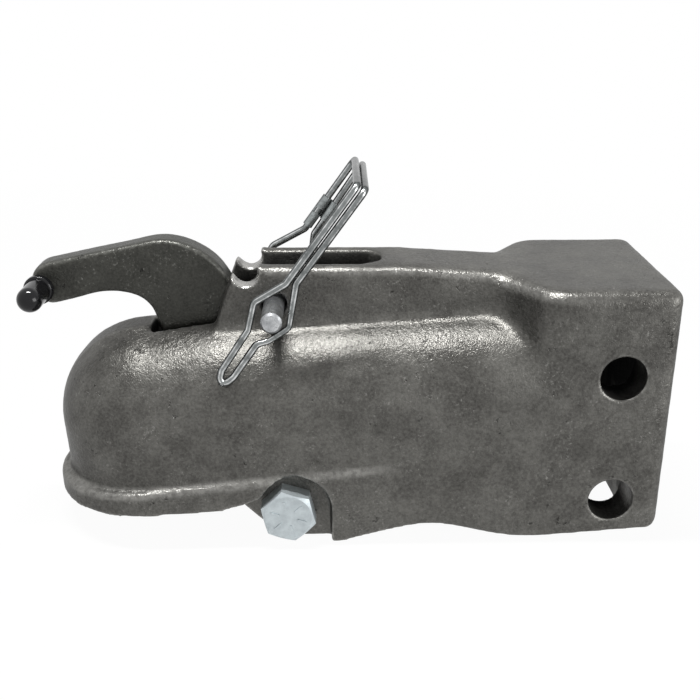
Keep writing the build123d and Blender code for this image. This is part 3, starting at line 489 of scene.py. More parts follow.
@dataclass(frozen=True)
class ZincFinish:
    """Plated or bare bright metal with drawn or turned lines, and on thin pieces a painted shade and
    painted highlight line.
    """

    name: str
    colour: Colour
    shade: Colour
    lines: Turned = Turned.NO_LINES
    metallic: float = 0.9
    roughness: float = 0.3
    speckle: float = 0.3
    relief: float = 0.03
    bloom_range: Span = (0.35, 0.65)
    bloom_shine: float = 0.1
    dull_roughness: float = 0.06
    speck_roughness: float = 0.2
    # Painted shade on the sides that turn away from the view, and a painted highlight line beside it.
    painted_rim_shade: Optional[Colour] = None
    rim_range: Span = (0.2, 0.5)
    painted_sheen: Optional[Colour] = None
    sheen_rise: Span = (0.06, 0.13)
    sheen_fall: Span = (0.16, 0.26)

    def material(self) -> bpy.types.Material:
        """Build the material.

        Returns:
            The finished material.
        """
        made, graph, shader = start_material(self.name)
        place = graph.add("ShaderNodeTexCoord").outputs["Object"]
        skin = graph.add("ShaderNodeGroup", node_tree=GROUPS.zinc)
        lined = graph.stretched(place, self.lines.value)
        graph.feed(skin, Vector=place, Lined=lined, Speckle=self.speckle)
        bloom = graph.spread(skin.outputs["Bloom"], *self.bloom_range)
        colour = graph.blend(bloom, self.shade, self.colour)
        colour = graph.blend(skin.outputs["Speck"], colour, self.shade)
        colour = self.paint_rim_shade_and_sheen(graph, colour, bloom)
        rough = graph.maths("MULTIPLY", bloom, -self.bloom_shine)
        rough = graph.maths("ADD", rough, self.roughness + self.dull_roughness)
        dull = graph.maths("MULTIPLY", skin.outputs["Speck"], self.speck_roughness)
        rough = graph.maths("ADD", rough, dull, True)
        bump = graph.add("ShaderNodeBump")
        graph.feed(bump, Height=skin.outputs["Height"], Strength=1.0, Distance=self.relief * MM)
        graph.feed(shader, Base_Color=colour, Roughness=rough, Metallic=self.metallic)
        graph.feed(shader, Normal=bump.outputs[0])
        return made

    def paint_rim_shade_and_sheen(self, graph: Graph, colour: Any, bloom: Any) -> Any:
        """Paint shade on the sides that turn away from the view and a painted highlight line beside
        them, as on thin wire.

        Args:
            graph: The material's graph.
            colour: The plating's colour.
            bloom: The mask of its bloom.

        Returns:
            The colour with the painted shade and the painted highlight line, where the finish has them.
        """
        if self.painted_rim_shade is None:
            return colour
        # Painted shade and painted highlight, both set by the angle to the view.
        facing = graph.add("ShaderNodeLayerWeight")
        graph.feed(facing, Blend=0.5)
        turned = facing.outputs["Facing"]
        colour = graph.blend(graph.spread(turned, *self.rim_range), colour, self.painted_rim_shade)
        if self.painted_sheen is None:
            return colour
        rise = graph.spread(turned, *self.sheen_rise)
        fall = graph.spread(turned, *self.sheen_fall, 1.0, 0.0)
        painted_sheen_line = graph.maths("MULTIPLY", graph.maths("MULTIPLY", rise, fall), bloom)
        return graph.blend(painted_sheen_line, colour, self.painted_sheen)


@dataclass(frozen=True)
class PlasticFinish:
    """Moulded or dipped plastic with a faint orange-peel skin."""

    name: str
    colour: Colour
    haze: Colour
    roughness: float = 0.12
    shine: float = 0.5
    relief: float = 0.03
    haze_scale: float = 330.0
    haze_range: Span = (0.45, 0.75)
    haze_roughness: float = 0.12
    peel_scale: float = 700.0

    def material(self) -> bpy.types.Material:
        """Build the material.

        Returns:
            The finished material.
        """
        made, graph, shader = start_material(self.name)
        place = graph.add("ShaderNodeTexCoord").outputs["Object"]
        haze = graph.spread(graph.noise(place, self.haze_scale, 4.0, 0.6), *self.haze_range)
        colour = graph.blend(haze, self.colour, self.haze)
        rough = graph.maths("MULTIPLY", haze, self.haze_roughness)
        rough = graph.maths("ADD", rough, self.roughness)
        bump = graph.add("ShaderNodeBump")
        peel = graph.noise(place, self.peel_scale, 2.0, 0.5)
        graph.feed(bump, Height=peel, Strength=1.0, Distance=self.relief * MM)
        graph.feed(shader, Base_Color=colour, Roughness=rough, Metallic=0.0)
        graph.feed(shader, Specular_IOR_Level=self.shine, Normal=bump.outputs[0])
        return made


CASTING_GREY = CastFinish(
    name="cast_grey",
    light=(0.15, 0.147, 0.136),
    dark=(0.053, 0.051, 0.047),
    rub_and_highlight=(0.36, 0.355, 0.335),
    cut=(0.4, 0.395, 0.38),
)
LEVER_GREY = CastFinish(
    name="lever_grey",
    light=(0.068, 0.068, 0.06),
    dark=(0.022, 0.022, 0.019),
    rub_and_highlight=(0.27, 0.27, 0.25),
    cut=(0.3, 0.3, 0.29),
    metallic=0.5,
    relief=0.28,
    pitting=0.9,
    glint=0.6,
    wear_and_highlight=1.0,
)
CLAMP_GREY = CastFinish(
    name="clamp_grey",
    light=(0.15, 0.147, 0.135),
    dark=(0.1, 0.098, 0.09),
    rub_and_highlight=(0.35, 0.35, 0.34),
    cut=(0.35, 0.35, 0.34),
    relief=0.2,
)
BOLT_ZINC = ZincFinish(
    name="bolt_zinc",
    colour=(0.56, 0.615, 0.635),
    shade=(0.43, 0.475, 0.495),
    metallic=0.6,
    roughness=0.36,
    speckle=0.25,
)
PIN_ZINC = ZincFinish(
    name="pin_zinc",
    colour=(0.56, 0.57, 0.58),
    shade=(0.25, 0.26, 0.27),
    lines=Turned.ALONG_Y,
    roughness=0.3,
    speckle=0.7,
)
WIRE_ZINC = ZincFinish(
    name="wire_zinc",
    colour=(0.27, 0.285, 0.285),
    shade=(0.15, 0.16, 0.16),
    metallic=1.0,
    roughness=0.22,
    speckle=0.25,
    relief=0.01,
    # Painted shade on the wire's turned-away sides and a painted highlight line.
    painted_rim_shade=(0.05, 0.055, 0.055),
    painted_sheen=(0.8, 0.8, 0.8),
)
SHEET_ZINC = ZincFinish(
    name="sheet_zinc",
    colour=(0.4, 0.43, 0.43),
    shade=(0.2, 0.215, 0.215),
    metallic=0.8,
    roughness=0.28,
    speckle=0.35,
    # Painted shade on the clip's turned-away sides.
    painted_rim_shade=(0.08, 0.085, 0.085),
)
TURNED_STEEL = ZincFinish(
    name="turned_steel",
    colour=(0.4, 0.39, 0.37),
    shade=(0.25, 0.24, 0.23),
    lines=Turned.ALONG_Y,
    roughness=0.35,
)
SPRING_STEEL = ZincFinish(
    name="spring_steel",
    colour=(0.12, 0.12, 0.12),
    shade=(0.07, 0.07, 0.07),
    roughness=0.4,
    speckle=0.2,
)
BLACK_GRIP = PlasticFinish(
    name="black_grip",
    colour=(0.004, 0.004, 0.005),
    haze=(0.009, 0.009, 0.01),
    shine=0.3,
)
PALE_NYLON = PlasticFinish(
    name="pale_nylon",
    colour=(0.62, 0.66, 0.7),
    haze=(0.7, 0.72, 0.74),
    roughness=0.45,
)


def select_only(*objects: bpy.types.Object) -> None:
    """Deselect everything, then select these objects and make the first one active.

    Args:
        *objects: The objects to select.
    """
    bpy.ops.object.select_all(action="DESELECT")
    for obj in objects:
        obj.select_set(True)
    bpy.context.view_layer.objects.active = objects[0]


def apply_modifier(obj: bpy.types.Object, kind: str, **settings: Any) -> None:
    """Add a modifier and apply it.

    Args:
        obj: The object to change.
        kind: The modifier's type.
        **settings: Its settings, by name.
    """
    select_only(obj)
    modifier = obj.modifiers.new(kind.lower(), kind)
    for name, value in settings.items():
        setattr(modifier, name, value)
    bpy.ops.object.modifier_apply(modifier=modifier.name)


def merged_copy(node: bpy.types.Object, name: str) -> bpy.types.Object:
    """Copy a frame node's mesh into a new object and weld its loose faces.

    Args:
        node: The node to copy.
        name: The new object's name.

    Returns:
        The welded copy.
    """
    obj = bpy.data.objects.new(name, node.data.copy())
    bpy.context.scene.collection.objects.link(obj)
    obj.data.materials.clear()
    select_only(obj)
    bpy.ops.object.mode_set(mode="EDIT")
    bpy.ops.mesh.select_all(action="SELECT")
    bpy.ops.mesh.remove_doubles(threshold=0.00001)
    bpy.ops.mesh.normals_make_consistent(inside=False)
    bpy.ops.object.mode_set(mode="OBJECT")
    return obj


def dress(obj: bpy.types.Object, material: bpy.types.Material) -> None:
    """Give an object one material all over.

    Args:
        obj: The object.
        material: Its material.
    """
    obj.data.materials.clear()
    obj.data.materials.append(material)
    indices = np.zeros(len(obj.data.polygons), dtype=np.int32)
    obj.data.polygons.foreach_set("material_index", indices)


def mesh_points(obj: bpy.types.Object) -> np.ndarray:
    """Read an object's vertex places.

    Args:
        obj: The object.

    Returns:
        One row of three numbers per vertex.
    """
    points = np.empty(len(obj.data.vertices) * 3)
    obj.data.vertices.foreach_get("co", points)
    return points.reshape(-1, 3)


def mesh_normals(obj: bpy.types.Object) -> np.ndarray:
    """Read an object's vertex normals.

    Args:
        obj: The object.

    Returns:
        One row of three numbers per vertex.
    """
    normals = np.empty(len(obj.data.vertices) * 3)
    obj.data.vertices.foreach_get("normal", normals)
    return normals.reshape(-1, 3)


def mesh_edges(obj: bpy.types.Object) -> np.ndarray:
    """Read the two vertex numbers of each edge.

    Args:
        obj: The object.

    Returns:
        One row of two numbers per edge.
    """
    edges = np.empty(len(obj.data.edges) * 2, dtype=np.int64)
    obj.data.edges.foreach_get("vertices", edges)
    return edges.reshape(-1, 2)


def ramp(values: np.ndarray, width: float) -> np.ndarray:
    """Turn distances into shares that rise from 0 to 1 over a width."""
    return (values / width).clip(0, 1)


def from_axis(points: np.ndarray, centre: Point) -> np.ndarray:
    """Measure each point's distance from the axis that runs along Y through a centre."""
    return np.hypot(points[:, 0] - centre[0], points[:, 2] - centre[2])


def write_points(obj: bpy.types.Object, points: np.ndarray) -> None:
    """Write an object's vertex places.

    Args:
        obj: The object.
        points: One row of three numbers per vertex.
    """
    obj.data.vertices.foreach_set("co", points.ravel())
    obj.data.update()


def ring_mean(values: np.ndarray, edges: np.ndarray) -> np.ndarray:
    """Average a value over each vertex's neighbours.

    Args:
        values: One row per vertex.
        edges: Vertex numbers of the edges.

    Returns:
        The mean over the neighbours, one row per vertex.
    """
    count = np.bincount(edges.ravel(), minlength=len(values)).clip(1)
    columns = []
    for column in values.reshape(len(values), -1).T:
        total = np.bincount(edges[:, 0], column[edges[:, 1]], len(values))
        total += np.bincount(edges[:, 1], column[edges[:, 0]], len(values))
        columns.append(total / count)
    return np.stack(columns, axis=1).reshape(values.shape)


def even_out(values: np.ndarray, edges: np.ndarray, passes: int) -> np.ndarray:
    """Blend a value with its neighbours' mean, again and again.

    Args:
        values: One number per vertex.
        edges: Vertex numbers of the edges.
        passes: How often it is blended.

    Returns:
        The evened values.
    """
    for _ in range(passes):
        values = 0.5 * values + 0.5 * ring_mean(values, edges)
    return values


def relax(obj: bpy.types.Object, weight: np.ndarray, passes: int) -> None:
    """Draw each vertex towards the mean of its neighbours, again and again.

    Args:
        obj: The object to change.
        weight: How far each vertex goes in one pass, 0 to 1.
        passes: How often it goes.
    """
    points, edges = mesh_points(obj), mesh_edges(obj)
    for _ in range(passes):
        points += weight[:, None] * (ring_mean(points, edges) - points)
    write_points(obj, points)


def bulge(obj: bpy.types.Object, passes: int = 2) -> np.ndarray:
    """Measure how far each vertex stands out from its neighbours, per metre of spacing.

    Args:
        obj: The object to measure.
        passes: How often the measure is averaged over neighbours.

    Returns:
        One number per vertex, positive on outward edges and negative in hollows.
    """
    points, normals, edges = mesh_points(obj), mesh_normals(obj), mesh_edges(obj)
    apart = points[edges[:, 0]] - points[edges[:, 1]]
    reach = np.linalg.norm(apart, axis=1).clip(1e-9)
    lift = np.einsum("ij,ij->i", normals[edges[:, 0]], apart) / reach ** 2
    drop = -np.einsum("ij,ij->i", normals[edges[:, 1]], apart) / reach ** 2
    count = np.bincount(edges.ravel(), minlength=len(points)).clip(1)
    out = np.bincount(edges[:, 0], lift, len(points)) + np.bincount(edges[:, 1], drop, len(points))
    out /= count
    return even_out(out, edges, passes)


def enclosure(obj: bpy.types.Object, reach: float) -> np.ndarray:
    """Measure how shut in each vertex is by the object itself.

    Args:
        obj: The object to measure.
        reach: How far a wall may be away to count.

    Returns:
        One number per vertex, 0 in the open and 1 deep in a cavity.
    """
    tree = BVHTree.FromObject(obj, bpy.context.evaluated_depsgraph_get())
    points, normals, edges = mesh_points(obj), mesh_normals(obj), mesh_edges(obj)
    directions = [Vector(d).normalized() for d in SKY]
    shut = np.zeros(len(points))
    for i, (point, normal) in enumerate(zip(points, normals)):
        out = Vector(normal)
        start = Vector(point) + out * RAY_START
        for direction in directions:
            ray = (direction + out * RAY_LEAN).normalized()
            shut[i] += tree.ray_cast(start, ray, reach)[0] is not None
    shut /= len(directions)
    return even_out(shut, edges, 3)


def write_mask(obj: bpy.types.Object, name: str, values: np.ndarray) -> None:
    """Store one number per vertex as an attribute.

    Args:
        obj: The object.
        name: The attribute's name.
        values: One number per vertex.
    """
    attribute = obj.data.attributes.new(name, "FLOAT", "POINT")
    attribute.data.foreach_set("value", values.astype(np.float32))


@dataclass
class CastSkin:
    """How a sharp solid is turned into a softly rounded casting."""

    voxel: float
    soft_passes: int
    hollow_passes: int
    swell: float
    lumps: float
    most_faces: int
    worn_passes: int = 0
    cavity_reach: float = 70 * MM
    swell_size: float = 14 * MM
    lump_size: float = 2.2 * MM
    soft_step: float = 0.5
    hollow_step: float = 0.6
    hollow_start: float = 60.0
    hollow_range: float = 120.0
    hollow_rings: int = 6
    hollow_gain: float = 1.9
    hollow_limit: float = 0.95
    edge_start: float = 90.0
    edge_range: float = 160.0

    def make(
        self,
        node: bpy.types.Object,
        name: str,
        crisp: Optional[Share] = None,
        worn: Optional[Share] = None,
    ) -> bpy.types.Object:
        """Round a node's edges, fill its sharp corners a little and give it an uneven skin.

        Args:
            node: The frame's node.
            name: The new piece's name.
            crisp: Gives, for an array of points, how far each is kept from softening, 0 to 1.
            worn: Gives, for an array of points, how far each is rounded further, 0 to 1.

        Returns:
            The new piece, at the node's place.
        """
        obj = merged_copy(node, name)
        low, high = mesh_points(obj).min(0), mesh_points(obj).max(0)
        apply_modifier(obj, "REMESH", mode="VOXEL", voxel_size=self.voxel, adaptivity=0.0)
        self.fill_corners(obj, crisp)
        apply_modifier(obj, "SMOOTH", factor=self.soft_step, iterations=2)
        relax(obj, self.soft_step * self.free(obj, crisp), self.soft_passes)
        if worn is not None:
            relax(obj, self.soft_step * worn(mesh_points(obj)), self.worn_passes)
        self.roughen(obj, "swell", self.swell_size, self.swell)
        self.roughen(obj, "lumps", self.lump_size, self.lumps)
        share = self.most_faces / (2 * max(len(obj.data.polygons), 1))
        if share < 1:
            apply_modifier(obj, "DECIMATE", ratio=share)
        write_points(obj, mesh_points(obj).clip(low, high))
        select_only(obj)
        bpy.ops.object.shade_smooth()
        # Rubbed wear on outward edges; the casting later adds a painted highlight band to this mask.
        write_mask(obj, "edge", ramp(bulge(obj) - self.edge_start, self.edge_range))
        # This mask drives the painted shade in hollows.
        write_mask(obj, "deep", enclosure(obj, self.cavity_reach))
        return obj

    @staticmethod
    def free(obj: bpy.types.Object, crisp: Optional[Share]) -> np.ndarray:
        """Say how far each vertex may be softened.

        Args:
            obj: The piece.
            crisp: Gives how far each point is kept from softening, or None.

        Returns:
            One number per vertex, 0 to 1.
        """
        points = mesh_points(obj)
        return np.ones(len(points)) if crisp is None else 1.0 - crisp(points)

    @staticmethod
    def roughen(obj: bpy.types.Object, title: str, size: float, strength: float) -> None:
        """Lay soft bumps of one size over the skin.

        Args:
            obj: The piece.
            title: What the bumps are called.
            size: How broad they are.
            strength: How high they are.
        """
        cloud = bpy.data.textures.new(f"{obj.name}_{title}", "CLOUDS")
        cloud.noise_scale = size
        apply_modifier(
            obj, "DISPLACE", texture=cloud, texture_coords="LOCAL", strength=strength, mid_level=0.5
        )

    def fill_corners(self, obj: bpy.types.Object, crisp: Optional[Share]) -> None:
        """Smooth only the sharp inner corners, as a pattern maker's fillet does.

        Args:
            obj: The piece.
            crisp: Gives how far each point is kept from softening, or None.
        """
        edges = mesh_edges(obj)
        hollow = ramp(-bulge(obj, 1) - self.hollow_start, self.hollow_range)
        for _ in range(self.hollow_rings):
            wider = self.hollow_gain * ring_mean(hollow, edges)
            hollow = np.maximum(hollow, wider.clip(0, self.hollow_limit))
        weight = (hollow * self.free(obj, crisp)).clip(0, 1)
        relax(obj, self.hollow_step * weight, self.hollow_passes)


@dataclass
class Casting:
    """The housing: ball dome, neck, spine, slot and channel block in one casting."""

    skin: CastSkin
    cut_holes: tuple[Point, ...] = ((38.9 * MM, 0.0, 60.8 * MM), (49.4 * MM, 0.0, 48.78 * MM))
    cut_reach: float = 5.6 * MM
    cut_ring: float = 1.2 * MM
    cut_crispness: float = 0.85
    spine_half: float = 17.0 * MM
    slot_half: float = 8.8 * MM
    pocket: Point = (56.7 * MM, 0.0, -26.7 * MM)
    pocket_reach: float = 17.5 * MM
    pocket_floor: float = 22.0 * MM
    bead_top: float = -14.5 * MM
    bead_slope: float = 0.1
    bead_ledge: float = -19.0 * MM
    bead_band: float = 1.5 * MM
    bead_end: float = 105.0 * MM
    bead_crispness: float = 0.9
    # The bead ledge band: rubbed wear with a painted highlight.
    bead_rub_highlight: float = 0.7
    bead_highlight_width: float = 1.6
    bead_highlight_end: float = 98.0 * MM
    nose_scale: float = 30.0
    least_outward: float = 0.1
    worn_low: float = 55.0 * MM
    worn_end: float = 192.0 * MM
    worn_middle: float = 0.65
    worn_least: float = 0.3
    worn_reach: float = 40.0 * MM
    # Painted highlight: the top-edge band only on slopes tilted up by about this much.
    highlight_tilt: float = 0.6
    highlight_tilt_range: float = 0.38
    block_rub_highlight: float = 0.2
    spine_rub_highlight: float = 0.4
    block_front: float = 165.0 * MM
    bolt_holes: tuple[Point, ...] = ((178.6 * MM, 0.0, 26.9 * MM), (178.6 * MM, 0.0, -23.9 * MM))
    bolt_hole_radius: float = 8.73 * MM
    bolt_hole_ring: float = 2.2 * MM
    side_face: float = 38.5 * MM
    side_inner: float = 29.0 * MM
    side_wall: float = 14.5 * MM
    side_skin: float = 3.0 * MM
    cavity_front: float = 163.5 * MM
    cavity_rear: float = 188.0 * MM
    cavity_roof: float = 52.0 * MM

    def crisp(self, points: np.ndarray) -> np.ndarray:
        """Say how crisp the skin stays: along the bead and round the holes and the pocket.

        Args:
            points: Places, one row each.

        Returns:
            One number per place, 0 for soft and 1 for untouched.
        """
        from_middle = np.abs(points[:, 1])
        below = self.bead_top + self.bead_slope * points[:, 0] - points[:, 2]
        kept = self.bead_crispness * ramp(below, 2 * MM) * ramp(self.bead_end - points[:, 0], 8 * MM)
        for hole in self.bolt_holes:
            near = from_axis(points, hole) < self.bolt_hole_radius + self.bolt_hole_ring
            kept[near & (from_middle > self.side_inner - 2 * MM)] = 1.0
        for hole in self.cut_holes:
            near = from_axis(points, hole) < self.cut_reach + self.cut_ring
            kept[near & (from_middle < self.spine_half)] = self.cut_crispness
        near = from_axis(points, self.pocket) < self.pocket_reach
        kept[near & (from_middle > self.pocket_floor)] = self.cut_crispness
        return kept

    def worn(self, points: np.ndarray) -> np.ndarray:
        """Say where the skin is rounded further: along the outer top edges, less on the far side.

        Args:
            points: Places, one row each.

        Returns:
            One number per place, 0 for not at all and 1 for the most.
        """
        high = ramp(points[:, 2] - self.worn_low, 2 * MM)
        outer = ramp(np.abs(points[:, 1]) - self.slot_half, 1.5 * MM)
        side = (self.worn_middle - points[:, 1] / self.worn_reach).clip(self.worn_least, 1.0)
        rear = ramp(self.worn_end - points[:, 0], 20 * MM)
        return high * outer * side * rear * (1.0 - self.crisp(points))

    def thicken_sides(self, points: np.ndarray) -> None:
        """Move the inner faces of the block's side walls inwards to the walls' full thickness.

        Args:
            points: The casting's places, which are changed.
        """
        inside = ramp(points[:, 0] - self.cavity_front, 4 * MM)
        inside[(points[:, 0] > self.cavity_rear) | (points[:, 2] > self.cavity_roof)] = 0.0
        wall = self.side_face - self.side_inner
        growth = self.side_wall - wall
        from_middle = np.abs(points[:, 1])
        depth = self.side_face - from_middle
        push = growth * ramp(depth - self.side_skin, wall - self.side_skin)
        within = depth > wall
        push[within] = (growth / self.side_inner) * from_middle[within]
        points[:, 1] -= np.sign(points[:, 1]) * push * inside

    def round_bores(self, points: np.ndarray) -> None:
        """Make the drilled holes truly round.

        Args:
            points: The casting's places, which are changed.
        """
        in_wall = np.abs(points[:, 1]) > self.side_inner - 8 * MM
        for hole in self.bolt_holes:
            across, up = points[:, 0] - hole[0], points[:, 2] - hole[2]
            away = np.hypot(across, up).clip(1e-6)
            bore = in_wall & (np.abs(away - self.bolt_hole_radius) < 0.7 * MM)
            scale = (self.bolt_hole_radius / away)[bore]
            points[bore, 0] = hole[0] + across[bore] * scale
            points[bore, 2] = hole[2] + up[bore] * scale

    def mark_cuts(self, obj: bpy.types.Object) -> None:
        """Mark the bare metal in the spine's notch and round the pin's hole.

        Args:
            obj: The casting.
        """
        points = mesh_points(obj)
        cut = np.zeros(len(points))
        for hole in self.cut_holes:
            near = ramp(self.cut_reach - from_axis(points, hole), 0.5 * MM)
            near[np.abs(points[:, 1]) > self.spine_half] = 0
            cut = np.maximum(cut, near)
        write_mask(obj, "cut", cut)

    def rub_and_highlight_edges(self, obj: bpy.types.Object) -> None:
        """Brighten the bead's outer ledge and the worn top edges: rubbed wear, with a painted highlight
        on the slopes that tilt up towards the lamp.

        Args:
            obj: The casting.
        """
        points, normals = mesh_points(obj), mesh_normals(obj)
        ledge = self.bead_ledge + self.bead_slope * points[:, 0]
        from_ledge = np.abs(points[:, 2] - ledge) / self.bead_band
        outward = normals[:, 1] * np.sign(points[:, 1])
        nose = points[:, 0] < 0
        outward[nose] = (normals[:, :2] * points[:, :2]).sum(1)[nose] * self.nose_scale
        # Painted highlight, partly rubbed wear, along the bead's outward ledge.
        band = (self.bead_highlight_width - from_ledge).clip(0, 1)
        band *= self.bead_rub_highlight * (outward > self.least_outward)
        band *= ramp(self.bead_highlight_end - points[:, 0], 15 * MM)
        # Painted highlight on the worn top edges, limited to slopes tilted up towards the lamp.
        tilt = (normals[:, 2] - self.highlight_tilt) / self.highlight_tilt_range
        share = self.block_rub_highlight + self.spine_rub_highlight * ramp(self.block_front - points[:, 0], 20 * MM)
        band = np.maximum(band, share * (1 - tilt ** 2).clip(0, 1) * self.worn(points))
        edge = obj.data.attributes["edge"].data
        values = np.empty(len(points), dtype=np.float32)
        edge.foreach_get("value", values)
        edge.foreach_set("value", np.maximum(values, band).astype(np.float32))

    def build(self, nodes: dict[str, bpy.types.Object]) -> None:
        """Build and dress the casting.

        Args:
            nodes: The frame's nodes by name.
        """
        obj = self.skin.make(nodes["housing"], "casting", self.crisp, self.worn)
        points = mesh_points(obj)
        self.thicken_sides(points)
        self.round_bores(points)
        write_points(obj, points)
        self.mark_cuts(obj)
        self.rub_and_highlight_edges(obj)
        dress(obj, CASTING_GREY.material())
        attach(obj, "housing")
        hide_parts("housing")
        LOG.info("casting: %d faces", len(obj.data.polygons))


@dataclass
class Latch:
    """The lever with its knob, and the clamp and pins inside the casting."""

    skin: CastSkin

    def build(self, nodes: dict[str, bpy.types.Object]) -> None:
        """Build the lever, and dress the clamp, pins, knob and stud.

        Args:
            nodes: The frame's nodes by name.
        """
        lever = self.skin.make(nodes["lever"], "forged_lever")
        write_mask(lever, "cut", np.zeros(len(lever.data.vertices)))
        dress(lever, LEVER_GREY.material())
        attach(lever, "latch")
        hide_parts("lever")
        LOG.info("lever: %d faces", len(lever.data.polygons))
        dress(nodes["ball_clamp"], CLAMP_GREY.material())
        steel = TURNED_STEEL.material()
        for name in ("clamp_pins", "knob_stud", "pivot_sleeve", "pivot_spacer"):
            dress(nodes[name], steel)
        dress(nodes["lever_knob"], BLACK_GRIP.material())
        LOG.info("latch: clamp, pins, stud and knob dressed")


@dataclass
class Pivot:
    """The hex bolt, washer, lock nut, its insert and the return spring."""

    def build(self, nodes: dict[str, bpy.types.Object]) -> None:
        """Dress the pivot's pieces.

        Args:
            nodes: The frame's nodes by name.
        """
        zinc = BOLT_ZINC.material()
        for name in ("pivot_bolt", "nut_washer", "lock_nut"):
            dress(nodes[name], zinc)
        dress(nodes["nut_insert"], PALE_NYLON.material())
        dress(nodes["return_spring"], SPRING_STEEL.material())
        LOG.info("pivot: bolt, washer, nut, insert and spring dressed")


@dataclass
class LockPin:
    """The lock pin, its wire bail and the sheet clip on the bail."""

    thickening: float = 0.28 * MM
    pin_place: Point = (49.4 * MM, 0.0, 48.1 * MM)
    pin_clear: float = 7.5 * MM
    leg_bottom: float = 60.0 * MM
    leg_side: float = -14.0 * MM
    across: Point = (0.848, 0.0, -0.53)
    nip: float = 0.6 * MM

    def build_bail(self, node: bpy.types.Object) -> None:
        """Build the bail, thicker than the solid except near the pin, its near legs nipped together.

        Args:
            node: The frame's node.
        """
        obj = merged_copy(node, "wire_bail")
        points, normals = mesh_points(obj), mesh_normals(obj)
        top = points[:, 2].max()
        across = points @ np.array(self.across)
        near = (points[:, 1] < self.leg_side) & (points[:, 2] > self.leg_bottom + 8 * MM)
        middle = 0.5 * (across[near].min() + across[near].max())
        clear = ramp(from_axis(points, self.pin_place) - self.pin_clear, 3 * MM)
        points += normals * (self.thickening * clear)[:, None]
        share = ramp(points[:, 2] - self.leg_bottom, 10 * MM)
        share *= (points[:, 1] / (2 * self.leg_side) + 0.5).clip(0, 1) * (across > middle)
        points -= np.outer(self.nip * share, np.array(self.across))
        points[:, 2] = points[:, 2].clip(None, top)
        write_points(obj, points)
        select_only(obj)
        bpy.ops.object.shade_smooth()
        dress(obj, WIRE_ZINC.material())
        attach(obj, "bail")
        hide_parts("bail_wire")
        LOG.info("bail: %d faces", len(obj.data.polygons))

    def build(self, nodes: dict[str, bpy.types.Object]) -> None:
        """Dress the pin, the bail and the clip.

        Args:
            nodes: The frame's nodes by name.
        """
        dress(nodes["lock_pin"], PIN_ZINC.material())
        self.build_bail(nodes["bail_wire"])
        dress(nodes["bail_clip"], SHEET_ZINC.material())
        LOG.info("lock pin: pin, bail and clip dressed")


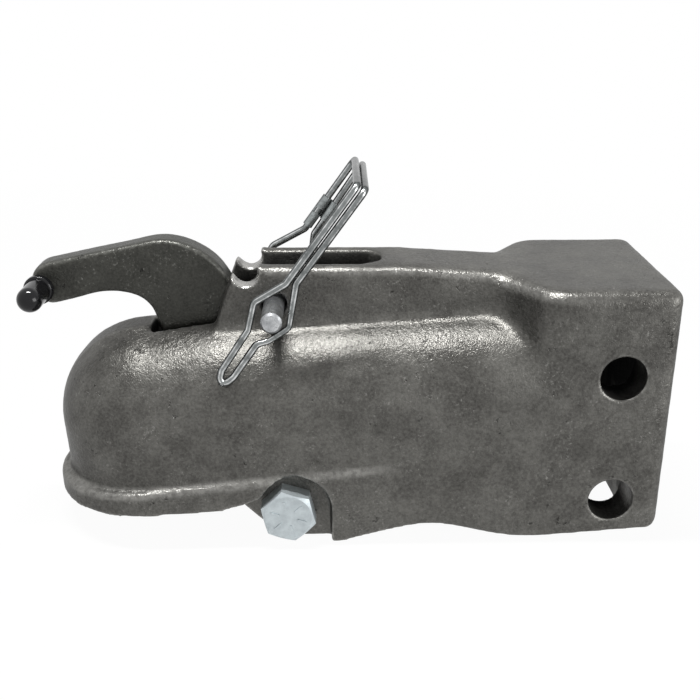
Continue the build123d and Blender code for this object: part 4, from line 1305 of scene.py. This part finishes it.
@dataclass
class Studio:
    """White floor, soft lamps and a camera at the photograph's angle."""

    camera_place: Point = (71.9 * MM, -366.5 * MM, 168.7 * MM)
    look_down: float = 21.56
    turn_right: float = 1.04
    lens: float = 50.24
    floor_size: float = 8.0
    shadow_reach: float = 0.35
    near_white: float = 0.96
    world_light: float = 0.12
    key_power: float = 10.5
    key_size: Point = (0.42, 0.05, 0.0)
    key_place: Point = (-0.06, -0.035, 0.95)
    fill_power: float = 6.5
    fill_size: Point = (0.6, 0.6, 0.0)
    fill_place: Point = (0.9, -0.6, 0.15)
    rear_power: float = 0.4
    rear_place: Point = (0.35, 0.75, 0.6)
    aim_place: Point = (0.075, 0.0, 0.02)
    floor_gap: float = 0.5 * MM
    floor_grey: float = 0.9
    floor_roughness: float = 0.9

    def build(self, floor_height: float) -> None:
        """Set the stage.

        Args:
            floor_height: Height of the object's lowest point.
        """
        self.add_floor(floor_height)
        self.add_world()
        self.add_lamp("key", self.key_place, self.key_size, self.key_power)
        self.add_lamp("fill", self.fill_place, self.fill_size, self.fill_power)
        self.add_lamp("rear", self.rear_place, self.fill_size, self.rear_power)
        self.add_camera()
        LOG.info("studio: floor, three lamps and camera")

    def add_floor(self, height: float) -> None:
        """Add the floor that shows white and keeps the shadow.

        Args:
            height: Height of the object's lowest point.
        """
        bpy.ops.object.select_all(action="DESELECT")
        bpy.ops.mesh.primitive_plane_add(size=self.floor_size, location=(0, 0, height - self.floor_gap))
        floor = bpy.context.object
        floor.name = "floor"
        material, graph, shader = start_material("white_floor")
        graph.feed(shader, Base_Color=(*[self.floor_grey] * 3, 1.0), Roughness=self.floor_roughness)
        path = graph.add("ShaderNodeLightPath")
        glow = graph.add("ShaderNodeEmission")
        graph.feed(glow, Color=(1.0, 1.0, 1.0, 1.0), Strength=1.0)
        mix = graph.add("ShaderNodeMixShader")
        shown = self.shown_share(graph, path)
        place = graph.add("ShaderNodeTexCoord").outputs["Object"]
        away = graph.add("ShaderNodeVectorMath", operation="LENGTH")
        graph.feed(away, Vector=place)
        reach = self.shadow_reach
        plain = graph.spread(away.outputs["Value"], reach, 2 * reach, self.near_white, 1.0)
        share = graph.maths("MULTIPLY", shown, plain)
        graph.tree.links.new(share, mix.inputs[0])
        graph.tree.links.new(shader.outputs[0], mix.inputs[1])
        graph.tree.links.new(glow.outputs[0], mix.inputs[2])
        graph.tree.links.new(mix.outputs[0], graph.tree.nodes["Material Output"].inputs["Surface"])
        floor.data.materials.append(material)
        floor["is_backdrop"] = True

    @staticmethod
    def shown_share(graph: Graph, path: bpy.types.Node) -> bpy.types.NodeSocket:
        """Give 1 for camera, mirror and see-through rays, and 0 for rays that only carry light.

        Args:
            graph: The material's or the world's graph.
            path: Its Light Path node.

        Returns:
            The share's socket.
        """
        seen = graph.maths("ADD", path.outputs["Is Camera Ray"], path.outputs["Is Glossy Ray"], True)
        return graph.maths("ADD", seen, path.outputs["Is Transmission Ray"], True)

    def add_world(self) -> None:
        """Make the world white to the camera and to reflections, and dimmer as a light."""
        world = bpy.data.worlds.new("white_world")
        world.use_nodes = True
        bpy.context.scene.world = world
        graph = Graph(world.node_tree)
        ground = world.node_tree.nodes["Background"]
        shown = self.shown_share(graph, graph.add("ShaderNodeLightPath"))
        strength = graph.spread(shown, 0.0, 1.0, self.world_light, 1.0)
        graph.feed(ground, Color=(1.0, 1.0, 1.0, 1.0), Strength=strength)

    def add_lamp(self, name: str, place: Point, size: Point, power: float) -> None:
        """Add a soft lamp that faces the object, with its long side level.

        Args:
            name: The lamp's name.
            place: Where it stands.
            size: Its length and its width.
            power: Its power in watts.
        """
        lamp = bpy.data.lights.new(name, "AREA")
        lamp.shape = "RECTANGLE"
        lamp.size, lamp.size_y = size[:2]
        lamp.energy = power
        obj = bpy.data.objects.new(name, lamp)
        bpy.context.scene.collection.objects.link(obj)
        obj.location = place
        aim = (Vector(self.aim_place) - Vector(place)).normalized()
        obj.rotation_euler = (math.asin(aim.y), math.atan2(-aim.x, -aim.z), 0.0)

    def add_camera(self) -> None:
        """Add the camera and make it the scene's."""
        camera = bpy.data.cameras.new("camera")
        camera.lens = self.lens
        camera.sensor_width = 36.0
        camera.clip_start = 0.01
        obj = bpy.data.objects.new("camera", camera)
        bpy.context.scene.collection.objects.link(obj)
        obj.location = self.camera_place
        obj.rotation_euler = (math.radians(90 - self.look_down), 0.0, math.radians(-self.turn_right))
        bpy.context.scene.camera = obj


def corners(box: Any) -> list[list[float]]:
    """Turn a box into plain lists of numbers.

    Args:
        box: Its lowest and its highest corner.

    Returns:
        The same two corners as lists.
    """
    return [[float(v) for v in corner] for corner in box]


def main() -> None:
    """Load the frame, build and dress each sub-assembly, and set up the studio."""
    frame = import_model()
    nodes = frame["nodes"]
    cad_box = corners(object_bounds())
    bpy.context.scene.view_settings.view_transform = "Standard"
    GROUPS.build()
    casting_skin = CastSkin(
        voxel=0.75 * MM,
        soft_passes=9,
        hollow_passes=30,
        swell=0.25 * MM,
        lumps=0.14 * MM,
        most_faces=190000,
        worn_passes=60,
    )
    lever_skin = CastSkin(
        voxel=0.45 * MM,
        soft_passes=20,
        hollow_passes=6,
        swell=0.12 * MM,
        lumps=0.1 * MM,
        most_faces=90000,
    )
    Casting(casting_skin).build(nodes)
    Latch(lever_skin).build(nodes)
    Pivot().build(nodes)
    LockPin().build(nodes)
    Studio().build(cad_box[0][2])


if __name__ == "__main__":
    logging.basicConfig(level=logging.INFO, format="%(message)s")
    main()
